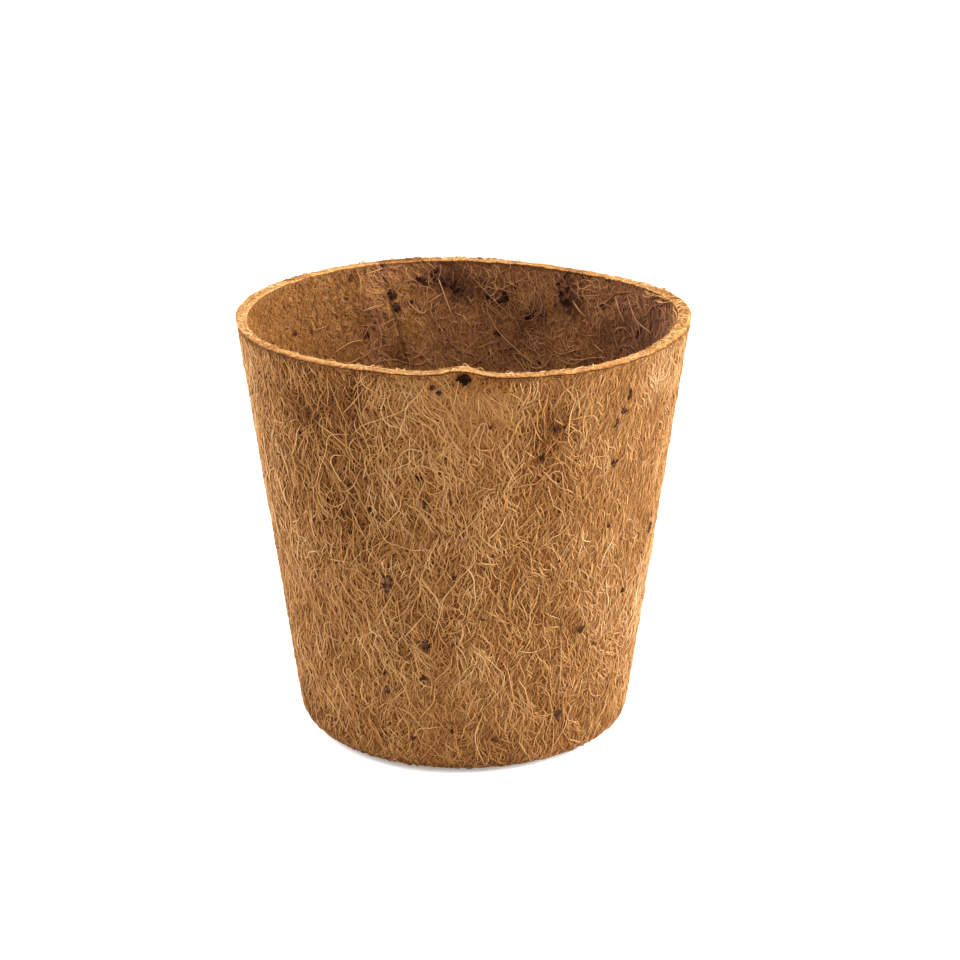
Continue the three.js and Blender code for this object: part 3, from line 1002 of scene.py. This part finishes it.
def petalCap():
    # end face in the order of the section's points: outer tongue, middle, inner tongue
    lap, middle = petalForm["lapColumns"], petalForm["middleColumns"]
    outerLast = lap + middle
    shelf = list(range(outerLast + 1, outerLast + lap + 2))
    inner = list(range(shelf[-1] + 1, shelf[-1] + outerLast + 2))[::-1]
    ledge = list(range(inner[0] + 1, inner[0] + lap + 2))[::-1]
    across = [ledge[-1]] + inner[1:middle] + [shelf[0]]
    return (stripFaces(list(range(lap + 1)), ledge)
            + stripFaces(list(range(lap, outerLast + 1)), across)
            + [(ledge[-1], inner[1], inner[0]), (inner[middle - 1], shelf[0], inner[middle])]
            + stripFaces(shelf, inner[middle:]))


def makePetal(name, seam):
    places, plans, depths, stains = [], [], [], []
    run, lastPair = 0, None
    for station in petalStations():
        azimuth, radius, level, depth = petalSection(station, seam)
        pair = np.array([radius[0], level[0]])
        run += 0 if lastPair is None else float(np.linalg.norm(pair - lastPair))
        lastPair = pair
        places.append(skinPoint(azimuth, radius, level))
        plans.append(np.stack([azimuth * pot["rimRadius"], run + depth * petalForm["innerPlan"]], axis=-1))
        depths.append(depth)
        # outside: the stains with their painted light and shade, less the painted gap shade; inside: the
        # stains
        shade = outsideStainAndPaintedLight(azimuth, level) - petalForm["paintedGapShade"] * stainAt(azimuth, level, contrastZones)
        stains.append(np.where(depth < 0.5, shade, stainAt(azimuth, level, insideStains)))
    size, rows, lipRows = len(places[0]), len(places), petalForm["lipRows"]
    # painted shadow under the rim's lip, darkest at the front, put on the outer rows of the lip
    atFront = np.clip(petalForm["lipShadeSpread"] * np.cos(azimuth), 0, 1)
    under = np.where(depth < 0.5, -petalForm["paintedLipShade"] * atFront, 0)
    stains[-lipRows:] = [under, under, bumpsAt(azimuth, rimForm["stains"])]

    # pared, worn and lumpy faces, with an uneven lip
    flat = np.array(places).reshape(-1, 3)
    share = np.array(depths).reshape(-1)
    outward = flat * noHeight
    outward /= np.linalg.norm(outward, axis=1, keepdims=True)
    facing = np.where(share == 0, 1, np.where(share == 1, -1, 0))
    lip = slice(-lipRows * size, None)
    flat[-size:] -= outward[-size:] * (paredAt(azimuth) * (depth == 0))[:, None]
    flat[lip] += outward[lip] * np.tile(wornAt(azimuth) * (depth == 1), lipRows)[:, None]
    flat += outward * (lumpy(flat, petalForm["lumpSize"]) * facing * petalForm["lump"])[:, None]
    flat[lip, 2] += lumpy(flat[lip] * noHeight, rimForm["lumpSize"]) * rimForm["lump"]

    faces, kinds = [], []
    outsideKind, insideKind, cutKind = range(3)
    outerLast = petalForm["lapColumns"] + petalForm["middleColumns"]
    for row in range(rows - 1):
        for column in range(size):
            here, after = row * size + column, row * size + (column + 1) % size
            faces.append((here, after, after + size, here + size))
            onWall = outsideKind if column <= outerLast else insideKind
            kinds.append(cutKind if row >= rows - 2 else onWall)
    top = (rows - 1) * size
    for face in petalCap():
        faces.append(tuple(reversed(face)))
        kinds.append(outsideKind)
        faces.append(tuple(top + index for index in face))
        kinds.append(cutKind)
    mesh = bpy.data.meshes.new(name)
    mesh.from_pydata(flat.tolist(), [], faces)
    setPlan(mesh, np.array(plans).reshape(-1, 2))
    setAttribute(mesh, "stain", np.array(stains))
    for material in (feltOutside, feltInside, feltCut):
        mesh.materials.append(material)
    mesh.polygons.foreach_set("material_index", kinds)
    mesh.polygons.foreach_set("use_smooth", [True] * len(faces))
    return placePiece(name, mesh, ["wall_petal_" + name.replace("petal_", "")])


for index, petalName in enumerate(petalNames):
    makePetal("petal_" + petalName, pot["firstSeam"] + index * quarter)

# Floor disc: a flat round of felt let down on the turned feet
discForm = {
    "gap": 0.3 * mm,
    "step": 1.4 * mm,
    "around": 96,
    "middle": 0.3 * mm,  # radius of the small round that closes each face
    "skinDepth": 0.25 * mm,
    "lumpsAbove": 0.2 * mm,  # over the ledge, so that the rest lies flat
    "underPlan": 0.3,  # metres on the map from the upper face to the lower one
}


def makeDisc():
    skin, gap, middle = discForm["skinDepth"], discForm["gap"], discForm["middle"]
    ledge, top = pot["wall"] - footThickness, pot["wall"] - skin
    corners = np.array([
        (middle, skin), (footEnd - gap, skin), (footEnd - gap, ledge),
        (discSeat - gap, ledge), (discSeat - gap, top), (middle, top),
    ])
    profile = []
    for start, end in zip(corners[:-1], corners[1:]):
        count = max(1, round(math.dist(start, end) / discForm["step"]))
        profile += [start + (end - start) * k / count for k in range(count)]
    profile = np.array([*profile, corners[-1]])
    azimuth = onceRound(discForm["around"])
    points = skinPoint(azimuth, profile[:, :1], profile[:, 1:])
    flat = points.reshape(-1, 3)
    bulge = lumpy(flat, petalForm["lumpSize"]) * petalForm["lump"]
    flat[:, 2] += np.where(flat[:, 2] > ledge + discForm["lumpsAbove"], bulge, 0)
    mesh = gridMesh("floor_disc_felt", flat.reshape(points.shape), capped=True)
    setPlan(mesh, flat[:, :2] + np.where(flat[:, 2:] > ledge, 0, discForm["underPlan"]))
    setAttribute(mesh, "stain", np.zeros(len(flat)))
    mesh.materials.append(feltInside)
    mesh.polygons.foreach_set("use_smooth", [True] * len(mesh.polygons))
    return placePiece("floor_disc_felt", mesh, ["floor_disc"])


makeDisc()

# Fibre layers of the outside, from the combed mat to the few long strands, in mm and degrees
outerMat = {
    "perSquareCm": 115,
    "densityMap": "cover",
    "forms": "matted",
    "length": (1.7, 4.4),
    "turn": 36,
    "swirl": 120,
    "lift": (0.03, 0.25),
    "sink": 0.38,
    "weave": 0.25,
    "radius": (0.085, 0.15),
    "tone": (0.19, 0.59),
    "patchTone": 0.36,
    "clumpTone": 0.0,
    "pressedTone": 0.06,
    "trim": 0.9,
    "segments": 3,
}
outerCrossing = {
    **outerMat, "perSquareCm": 38, "densityMap": "loose", "length": (2.4, 5.5), "turn": 65,
    "lift": (0.06, 0.25), "tone": (0.22, 0.62),
}
outerLong = {
    **outerMat, "perSquareCm": 11, "densityMap": "loose", "forms": "long", "length": (5, 12), "turn": 42,
    "lift": (0.06, 0.38), "radius": (0.09, 0.15), "tone": (0.32, 0.68), "segments": 7,
}
outerCurls = {
    **outerLong, "perSquareCm": 1.6, "forms": "curled", "length": (6, 14), "turn": 180, "segments": 13,
}
# Inside, short needled ends on the left and laid swathes of longer fibre elsewhere
innerNeedled = {
    **outerMat, "perSquareCm": 125, "densityMap": "needled", "length": (1.2, 3.2), "turn": 75, "swirl": 60,
    "lift": (0.02, 0.16), "sink": 0.24, "weave": 0.12, "radius": (0.07, 0.115), "tone": (0.42, 0.52),
    "patchTone": 0.5, "clumpTone": 0.7, "trim": 0.8,
}
innerMat = {
    **innerNeedled, "perSquareCm": 42, "densityMap": "matted", "forms": "long", "length": (2, 5.5),
    "turn": 60, "swirl": 300, "lift": (0.02, 0.2), "radius": (0.07, 0.11), "patchTone": 0.7, "clumpTone": 1.2,
    "segments": 5,
}
innerLong = {
    **outerLong, "perSquareCm": 2.2, "densityMap": "matted", "length": (7, 16), "turn": 180,
    "tone": (0.3, 0.65), "segments": 9,
}
innerCurls = {
    **outerCurls, "perSquareCm": 0.9, "densityMap": "matted", "lift": (0.2, 0.7), "tone": (0.3, 0.65),
}
# Cut ends and crumbs on the rim
rimCrumbs = {
    **outerMat, "perSquareCm": 430, "length": (0.7, 2.2), "turn": 180, "lift": (0.0, 0.2), "sink": 0.18,
    "radius": (0.06, 0.12), "tone": (0.0, 1.0), "patchTone": 0.9, "trim": 0.0,
}
rimFuzz = {
    **rimCrumbs, "perSquareCm": 90, "densityMap": "loose", "forms": "curled", "length": (2, 6),
    "lift": (0.1, 0.7), "tone": (0.1, 0.9), "segments": 8,
}
rimSpecks = {
    **rimCrumbs, "perSquareCm": 14, "length": (0.3, 0.9), "lift": (0.1, 0.2), "radius": (0.1, 0.2),
    "tone": (0.0, 0.1), "patchTone": 0.0,
}
floorMat = {**innerMat, "perSquareCm": 50, "densityMap": "cover", "turn": 180}

petalLayers = [
    ("outer_mat", outsideSkin, outerMat, 11, fibreOutside),
    ("outer_crossing", outsideSkin, outerCrossing, 61, fibreOutside),
    ("outer_long", outsideSkin, outerLong, 111, fibreOutside),
    ("outer_curls", outsideSkin, outerCurls, 151, fibreOutside),
    ("inner_needled", insideSkin, innerNeedled, 161, fibreNeedled),
    ("inner_mat", insideSkin, innerMat, 211, fibreInside),
    ("inner_long", insideSkin, innerLong, 251, fibreInside),
    ("inner_curls", insideSkin, innerCurls, 281, fibreInside),
]  # name, skin, settings, first seed and material
for layerName, skin, settings, seed, material in petalLayers:
    for index, petalName in enumerate(petalNames):
        layFibres(f"petal_{petalName}_{layerName}", skin, settings, index, seed + 10 * index, material)
layFibres("rim_crumbs", rimSkin, rimCrumbs, 0, 301, fibreRim)
layFibres("rim_fuzz", rimSkin, rimFuzz, 0, 305, fibreRim)
layFibres("rim_specks", rimSkin, rimSpecks, 0, 311, fibreOutside)
floorPetal = skinForm["floorPetal"]
layFibres("floor_disc_top_mat", insideSkin, floorMat, floorPetal, 321, fibreInside)
layFibres("floor_disc_under_mat", outsideSkin, floorMat, floorPetal, 341, fibreInside)
print("fibre layers laid")

# Single strands that stand out, by points of the photograph that they pass
outsideStrands = [
    [(425, 386), (415, 398), (407, 406), (404, 428)], [(429, 392), (439, 401), (447, 411)],
    [(454, 420), (461, 433), (467, 441)], [(445, 427), (452, 440), (460, 454)],
    [(469, 446), (475, 434), (482, 422), (485, 425), (481, 436), (479, 448), (481, 462)],
    [(402, 432), (414, 440), (424, 453), (428, 462)], [(499, 443), (503, 455), (509, 468), (518, 485)],
    [(480, 487), (488, 489), (496, 489)], [(483, 494), (488, 504), (495, 513)], [(433, 461), (435, 473)],
    [(442, 489), (448, 502), (448, 519), (450, 534)], [(457, 504), (464, 518), (467, 531), (466, 544)],
    [(423, 492), (421, 508), (416, 524), (411, 547), (405, 567)], [(408, 469), (414, 480), (420, 496)],
    [(575, 401), (569, 416), (568, 439)], [(563, 425), (554, 419)], [(524, 450), (533, 434)],
    [(525, 451), (535, 458)], [(540, 461), (543, 469)], [(562, 480), (563, 494), (566, 503), (579, 510)],
    [(543, 470), (553, 464), (563, 462), (569, 469), (571, 480)], [(534, 503), (539, 515), (544, 522)],
    [(349, 435), (334, 434), (328, 439), (327, 451), (321, 468), (318, 480), (315, 487), (309, 487)],
    [(357, 437), (351, 442), (350, 450), (356, 460), (362, 467)],
    [(358, 440), (364, 450), (368, 459), (371, 469)],
    [(343, 456), (334, 455), (331, 461), (334, 468), (339, 477), (345, 487)],
    [(335, 468), (346, 474), (354, 484), (360, 497), (366, 509), (372, 523), (375, 540)],
    [(334, 488), (345, 491), (354, 485), (358, 475), (362, 469)],
    [(368, 476), (375, 472), (383, 476), (388, 484)], [(368, 484), (370, 494), (374, 507), (376, 516)],
    [(346, 492), (350, 504), (358, 523), (367, 541)], [(383, 485), (384, 500)],
    [(371, 489), (375, 517), (386, 540), (399, 545), (412, 550), (430, 550), (438, 560)],
    [(326, 558), (337, 560), (348, 562)], [(348, 567), (356, 558), (363, 550)],
    [(330, 508), (334, 520), (335, 541)], [(325, 372), (337, 400), (352, 435)],
    [(357, 377), (359, 400), (362, 423)], [(365, 387), (354, 402), (343, 413)],
    [(424, 387), (406, 408), (380, 419), (363, 425), (351, 436)], [(391, 563), (394, 578), (405, 594)],
    [(407, 565), (400, 580)], [(393, 594), (383, 610), (375, 622)], [(397, 596), (400, 617), (403, 634)],
    [(419, 621), (411, 630), (404, 637)], [(399, 631), (409, 646), (419, 663)],
    [(368, 630), (364, 643), (361, 655)], [(391, 659), (390, 672)], [(414, 678), (405, 685), (394, 697)],
    [(464, 573), (452, 588), (444, 599), (438, 622), (432, 639)], [(435, 601), (423, 616), (406, 633)],
    [(472, 616), (459, 631), (440, 633)], [(560, 634), (561, 648), (560, 670), (560, 684)],
    [(591, 674), (598, 668)], [(600, 671), (612, 663)],
    [(587, 639), (597, 640), (603, 634), (610, 631), (614, 637), (612, 646)],
    [(575, 566), (562, 580), (550, 598), (540, 612)], [(496, 574), (516, 562)], [(521, 601), (528, 621)],
    [(584, 551), (593, 545), (597, 554), (597, 567)], [(596, 576), (596, 603)], [(511, 684), (514, 709)],
    [(518, 651), (532, 652), (545, 646), (552, 636)], [(483, 715), (475, 738), (485, 766)],
    [(412, 720), (422, 745)], [(505, 690), (517, 715)], [(554, 727), (551, 757)], [(419, 761), (437, 740)],
    [(486, 412), (492, 406), (501, 402), (510, 404), (517, 409)], [(479, 393), (478, 404), (479, 416)],
    [(499, 397), (507, 393), (516, 396), (522, 402), (523, 409), (519, 414)],
    [(515, 434), (517, 424), (525, 416)], [(454, 422), (461, 431), (468, 440)],
    [(447, 432), (454, 443), (460, 453)], [(424, 439), (431, 449), (438, 457)],
    [(545, 480), (552, 472), (560, 471), (564, 478)], [(562, 470), (563, 485), (566, 497)],
    [(434, 460), (435, 472)], [(548, 484), (550, 496), (554, 503)],
    [(514, 536), (517, 529), (524, 524), (531, 526)], [(480, 515), (480, 538)],
    [(466, 469), (468, 478), (477, 487)], [(501, 443), (504, 456), (507, 464), (515, 473)],
    [(600, 434), (597, 446)], [(550, 412), (557, 402), (563, 391), (575, 384)],
    [(588, 396), (590, 410), (590, 425)], [(640, 396), (648, 410)],
    [(572, 448), (567, 437), (576, 429), (584, 437)], [(566, 446), (573, 456), (585, 452), (588, 443)],
]
insideStrands = [
    [(473, 278), (495, 301), (518, 323)], [(486, 308), (496, 328), (511, 344), (530, 361), (540, 366)],
    [(440, 283), (448, 305), (453, 316)], [(467, 296), (471, 301), (477, 298)], [(531, 338), (539, 351)],
    [(573, 301), (584, 316)], [(627, 296), (637, 320), (651, 333)],
    [(589, 283), (599, 280), (598, 298), (584, 296)], [(558, 359), (573, 364), (589, 358), (606, 358)],
    [(594, 344), (604, 353)], [(476, 348), (496, 341)], [(334, 353), (348, 343), (363, 340)],
    [(314, 331), (328, 325)], [(356, 269), (360, 281), (360, 296)], [(365, 274), (383, 268)],
    [(362, 311), (377, 305)], [(383, 322), (375, 330)], [(438, 278), (443, 291)], [(426, 304), (443, 293)],
    [(576, 279), (579, 287), (578, 296), (582, 302)],
    [(596, 300), (592, 307), (587, 305), (589, 299), (595, 297)],
    [(587, 280), (593, 282), (595, 288), (590, 290), (588, 285)], [(615, 296), (619, 308), (624, 322)],
    [(572, 300), (579, 310), (586, 317)], [(558, 356), (573, 351), (582, 348)],
    [(566, 357), (575, 360), (587, 359)], [(344, 363), (352, 362), (360, 357)],
    [(375, 331), (385, 323), (396, 318)], [(422, 307), (431, 300), (441, 294)],
    [(366, 311), (375, 307), (384, 304)], [(440, 263), (440, 275), (436, 280)],
]
frayedStrands = [
    [(646, 288), (654, 290), (661, 295)], [(644, 291), (652, 296), (662, 293), (670, 296)],
    [(651, 298), (661, 296), (672, 301)], [(654, 300), (664, 303), (675, 300)],
    [(646, 286), (653, 287), (657, 294), (654, 299)],
    [(645, 290), (651, 294), (661, 291), (671, 294), (676, 299)],
    [(657, 300), (665, 303), (673, 300), (678, 303)], [(673, 305), (675, 310), (680, 314), (679, 319)],
    [(674, 296), (678, 300), (680, 307)], [(650, 294), (659, 296), (667, 300)],
    [(641, 284), (648, 283), (654, 286)], [(664, 296), (668, 299), (674, 300)],
    [(642, 294), (646, 297), (653, 297)], [(622, 280), (628, 282), (638, 281)],
]
drawnForm = {
    "lift": (0.25 * mm, 0.45 * mm),
    "radius": (0.09 * mm, 0.135 * mm),
    "outsideTone": (0.46, 0.74),
    "insideTone": (0.45, 0.75),
    "sink": 0.1 * mm,
    "weave": 0.12 * mm,
    "trim": 0.3 * mm,
}


def drawStrands(name, strands, inside, tones, seed, material):
    rng = np.random.default_rng(seed)
    depth = pot["wall"] if inside else 0
    points, edges, values = [], [], []
    for strand in strands:
        own = [rng.uniform(*tones), rng.uniform(*drawnForm["radius"]), rng.uniform(*drawnForm["lift"])]
        edges += [(k, k + 1) for k in range(len(points), len(points) + len(strand) - 1)]
        for x, y in strand:
            azimuth, level = seenOnWall(x, y, depth, inside)
            points.append(skinPoint(azimuth, wallRadius(level, depth), level).tolist())
            values.append(own)
    mesh = bpy.data.meshes.new(name + "Paths")
    mesh.from_pydata(points, edges, [])
    for attribute, column in zip(("tone", "thickness", "lift"), np.array(values).T):
        setAttribute(mesh, attribute, column)
    holder = bpy.data.objects.new(name + "Skin", insideSkin if inside else outsideSkin)
    made = bakeTree(name, mesh, drawnTree, {
        "Skin": holder, "Sink": drawnForm["sink"], "Weave": drawnForm["weave"], "Trim": drawnForm["trim"],
        "Material": material})
    bpy.data.objects.remove(holder)
    return placePiece(name, made)


drawStrands("single_strands_outside", outsideStrands, False, drawnForm["outsideTone"], 21, fibreOutside)
drawStrands("single_strands_inside", insideStrands, True, drawnForm["insideTone"], 22, fibreInside)
drawStrands("frayed_strands_inside", frayedStrands, True, drawnForm["insideTone"], 23, fibreRim)

# Husk flecks: dark bits of coconut husk and pith left in the felt, from near black to grey brown.
# Each is (azimuth in degrees, level in mm, length, width in mm, turn in degrees).
outsideFlecks = [
    (-7, 91.8, 1.0, 0.8, 0), (-5.4, 90.4, 1.0, 0.7, 30), (7, 83.2, 0.8, 0.6, 0), (24, 82, 1.5, 1.1, 20),
    (20.5, 75.7, 1.9, 1.2, 0), (46, 86.6, 2.2, 0.8, -10), (44.5, 83.4, 1.6, 0.6, 25),
    (42.4, 81, 1.5, 0.9, 0), (43, 71.5, 1.8, 0.7, 20), (-10, 66, 1.3, 1.0, 0), (44, 56.7, 1.4, 0.7, 30),
    (69, 50, 3.2, 1.0, 5), (-21.7, 46.3, 3.2, 1.5, -25), (-2.4, 48.3, 1.0, 0.8, 0),
    (56, 38.5, 1.6, 0.8, 10), (37.8, 32.8, 2.1, 1.5, 15), (-11, 32.3, 2.0, 1.4, 60),
    (-12.3, 23.9, 1.6, 0.9, 90), (-24.5, 20, 1.6, 1.3, 0), (32.7, 12.5, 2.4, 1.2, -10),
    (-3.6, 11, 1.0, 0.7, 0), (10.7, 8.5, 1.2, 0.8, 40), (-16.6, 8.8, 1.2, 0.9, 0),
]
insideFlecks = [
    (-158.3, 87, 2.3, 1.9, 0), (-159.6, 83.8, 2.0, 1.8, 0), (-164, 85, 1.0, 0.8, 0),
    (-121.3, 83.2, 1.3, 1.2, 0), (-167.3, 90.3, 2.4, 1.4, 80), (168.5, 86.2, 2.0, 1.5, 60),
    (173, 86.4, 1.6, 1.2, 0), (149, 88, 3.0, 1.5, 20), (-145.6, 92.6, 1.2, 0.8, 0),
]
# Pits and gashes where the felt is torn open: (x, y) of the photograph, length, width in mm, turn in degrees.
# Dark husk chips are sunk in them and darkened a little more, as painted shade in the openings.
outsideGashes = [
    (326, 500, 1.0, 0.7, 0), (301, 491, 1.2, 0.8, 0), (342, 514, 2.2, 1.3, 0), (370, 509, 1.6, 1.2, 20),
    (368, 523, 1.8, 1.0, 70), (337, 533, 1.6, 1.2, 0), (350, 533, 1.6, 0.9, 40), (342, 548, 2.2, 1.4, 20),
    (323, 534, 1.4, 0.7, 0), (369, 555, 1.5, 1.0, 0), (417, 478, 1.8, 0.9, -30),
]
insideGashes = [
    (562, 279, 4.4, 1.0, 34), (563, 297, 3.6, 1.4, 90), (504, 297, 2.2, 1.8, 0), (491, 298, 2.2, 1.4, 70),
    (515, 286, 1.4, 1.1, 0), (530, 314, 4.8, 0.9, 57), (498, 333, 2.2, 2.0, 0), (545, 316, 2.2, 0.6, 5),
    (637, 333, 3.0, 0.7, 0), (583, 276, 1.5, 0.8, 0), (600, 305, 1.5, 1.0, 0), (434, 272, 5.0, 1.2, 80),
    (447, 283, 3.2, 2.0, 60), (459, 290, 3.6, 2.2, 60), (366, 334, 2.4, 1.0, 0), (397, 354, 2.0, 1.2, 50),
]
# An open pit below the pinch, given in the same way: near-black chips raised in the fibres' place, a painted
# shadow inside the hole
frontPit = [
    (465, 379, 2.5, 1.7, 75), (461, 378, 1.5, 0.9, 65), (468, 380, 1.5, 1.2, 110), (465, 377, 1.6, 0.9, 90),
]
fleckForm = {
    "thickness": 0.3 * mm,
    "gashDepth": 0.22 * mm,
    "pitDepth": -0.16 * mm,  # stands in the fibres' place
    # painted shade in the gashes, and much more in the pit
    "gashPaintedShade": 0.05,
    "pitPaintedShade": 0.3,
    "raise": -0.05 * mm,  # a few fibres cross them
    "grow": 1.3,
    "tornGrow": 1.0,
    "bits": 3,  # smaller chips that make each listed one ragged
    "bitSize": (0.4, 0.8),
    "bitShift": 0.25,
    "bitTurn": 60,  # degrees either way
    "highest": 90,  # level in mm, above which a bit doesn't climb
    "small": (0.25, 0.85),  # length in mm of the scattered ones
    "smallWidth": (0.4, 0.9),  # of that length
    "smallLevels": (8, 91),  # mm
    "outsideCount": 110,
    "insideCount": 70,
    "mottle": 1.1 * mm,
    "colours": [(0.0, "0b0603"), (0.3, "1c0f08"), (0.5, "351f16"), (0.7, "5a3e2e")],
}
chipForm = {
    "shapes": 5,
    "corners": 11,
    "edge": (0.72, 1.12),  # how ragged
    "crown": 0.6,  # where the top turns down to the edge
    "crownHeight": (0.2, 0.5),
    "peak": 0.45,
    "seed": 3,
}


def makeFleckMaterial():
    material, add = newMaterial("coconutHusk")  # dull dark pith, mottled from near black to grey brown, and darker still where it is painted shade in the gashes and the pit
    place = add("ShaderNodeTexCoord", out="Object")
    mottle = add("ShaderNodeTexNoise", {"Vector": place, "Scale": 1 / fleckForm["mottle"], "Detail": 3.0})
    # darker in the gashes and the pit: painted shade
    soot = add("ShaderNodeAttribute", out="Fac", attribute_name="soot")
    shade = add("ShaderNodeMath", [mottle, soot], operation="SUBTRACT")
    giveSurface(add, {
        "Base Color": add("ShaderNodeValToRGB", [shade], stops=fleckForm["colours"]),
        "Roughness": 1.0,
        "Specular IOR Level": 0.0,
    })
    return material


def makeChips():
    # ragged flat chips one unit across
    rng = np.random.default_rng(chipForm["seed"])
    group = bpy.data.collections.new("chips")
    size = chipForm["corners"]
    turn = np.linspace(0, 2 * math.pi, size, endpoint=False)
    for index in range(chipForm["shapes"]):
        edge = 0.5 * rng.uniform(*chipForm["edge"], size)
        crown = chipForm["crown"] * edge
        heights = rng.uniform(*chipForm["crownHeight"], size)
        points = np.concatenate([
            np.stack([edge * np.cos(turn), edge * np.sin(turn), np.full(size, -0.5)], axis=-1),
            np.stack([crown * np.cos(turn), crown * np.sin(turn), heights], axis=-1),
            [[0, 0, chipForm["peak"]]],
        ])
        faces = []
        for k in range(size):
            after = (k + 1) % size
            faces += [(k, after, size + after, size + k), (size + k, size + after, 2 * size)]
        faces.append(tuple(range(size))[::-1])
        mesh = bpy.data.meshes.new(f"chip{index}")
        mesh.from_pydata(points.tolist(), [], faces)
        group.objects.link(bpy.data.objects.new(mesh.name, mesh))
    return group


def makeFleckTree():
    tree, add, given = newTree("setFlecks", {
        "Geometry": ["Places"], "Collection": ["Chips"], "Material": ["Material"]})
    read = {name: add("GeometryNodeInputNamedAttribute", {"Name": name}, data_type="FLOAT_VECTOR")
            for name in ("outwards", "along", "extent")}
    upright = add("FunctionNodeAlignRotationToVector", {"Vector": read["outwards"]}, axis="Z")
    rotation = add("FunctionNodeAlignRotationToVector", {
        "Rotation": upright, "Vector": read["along"]}, axis="X", pivot_axis="Z")
    chips = add("GeometryNodeCollectionInfo", {
        "Collection": given["Chips"], "Separate Children": True, "Reset Children": True})
    laid = add("GeometryNodeInstanceOnPoints", {
        "Points": given["Places"], "Instance": chips, "Pick Instance": True, "Rotation": rotation,
        "Scale": read["extent"]})
    whole = add("GeometryNodeRealizeInstances", {"Geometry": laid})
    dressed = add("GeometryNodeSetMaterial", {"Geometry": whole, "Material": given["Material"]})
    add("NodeGroupOutput", [dressed])
    return tree


huskAndHoleShade = makeFleckMaterial()
chips = makeChips()
fleckTree = makeFleckTree()


def setFlecks(name, flecks, gashes, torn, scattered, inside, seed):
    rng = np.random.default_rng(seed)
    depth, side = (pot["wall"], -1) if inside else (0, 1)
    listed = [(*fleck, 0) for fleck in flecks]
    for x, y, length, width, turn in gashes:
        azimuth, level = seenOnWall(x, y, depth, inside)
        listed.append((math.degrees(azimuth), level / mm, length, width, -turn, 1))
    for azimuth, level, length, width, turn, isTorn in list(listed):
        for share in rng.uniform(*fleckForm["bitSize"], fleckForm["bits"]):
            aside, up = rng.normal(0, fleckForm["bitShift"], 2) * length
            height = min(level + up, max(level - abs(up), fleckForm["highest"]))
            bitTurn = turn + rng.uniform(-fleckForm["bitTurn"], fleckForm["bitTurn"])
            listed.append((azimuth + math.degrees(aside * mm / pot["rimRadius"]), height,
                           length * share, width * share, bitTurn, isTorn))
    for size in rng.uniform(*fleckForm["small"], scattered):
        place = rng.uniform(-180, 180), rng.uniform(*fleckForm["smallLevels"])
        listed.append((*place, size, size * rng.uniform(*fleckForm["smallWidth"]), rng.uniform(-90, 90), 0))
    azimuth, level, length, width, turn, isTorn = np.array(listed).T
    azimuth, level, turn = np.radians(azimuth), level * mm, np.radians(turn)
    grow = np.where(isTorn, fleckForm["tornGrow"], fleckForm["grow"]) * mm
    extent = [length * grow, width * grow, np.full_like(length, fleckForm["thickness"])]

    # set flat on the cone of the wall
    lean, rise = math.cos(slope), math.sin(slope)
    outwards = side * np.stack(
        [np.sin(azimuth) * lean, -np.cos(azimuth) * lean, np.full_like(azimuth, -rise)], axis=-1)
    up = np.stack([np.sin(azimuth) * rise, -np.cos(azimuth) * rise, np.full_like(azimuth, lean)], axis=-1)
    along = up * np.cos(turn)[:, None] + np.cross(outwards, up) * np.sin(turn)[:, None]
    raised = fleckForm["raise"] - isTorn * fleckForm[torn + "Depth"]
    points = skinPoint(azimuth, wallRadius(level, depth), level) + outwards * raised[:, None]
    mesh = bpy.data.meshes.new(name + "Places")
    mesh.from_pydata(points.tolist(), [], [])
    setAttribute(mesh, "outwards", outwards, "FLOAT_VECTOR")
    setAttribute(mesh, "along", along, "FLOAT_VECTOR")
    setAttribute(mesh, "soot", isTorn * fleckForm[torn + "PaintedShade"])
    setAttribute(mesh, "extent", np.stack(extent, axis=-1), "FLOAT_VECTOR")
    made = bakeTree(name, mesh, fleckTree, {"Chips": chips, "Material": huskAndHoleShade})
    return placePiece(name, made)


setFlecks("husk_flecks_outside", outsideFlecks, outsideGashes, "gash", fleckForm["outsideCount"], False, 5)
setFlecks("husk_flecks_inside", insideFlecks, insideGashes, "gash", fleckForm["insideCount"], True, 6)
setFlecks("front_pit", [], frontPit, "pit", 0, False, 7)

# Dried latex in the glue lines: amber, faintly cloudy rubber
latexLook = {
    "cloud": 5 * mm,
    "colours": [(0.3, "b48a48"), (0.7, "d9b877")],
    "roughness": 0.4,
}


def makeLatex():
    material, add = newMaterial("driedLatex")
    place = add("ShaderNodeTexCoord", out="Object")
    cloud = add("ShaderNodeTexNoise", {"Vector": place, "Scale": 1 / latexLook["cloud"], "Detail": 3.0})
    giveSurface(add, {
        "Base Color": add("ShaderNodeValToRGB", [cloud], stops=latexLook["colours"]),
        "Roughness": latexLook["roughness"],
    })
    for name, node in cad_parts.items():
        if "latex" in name:
            node.data.materials.clear()
            node.data.materials.append(material)


makeLatex()
print("latex dressed")
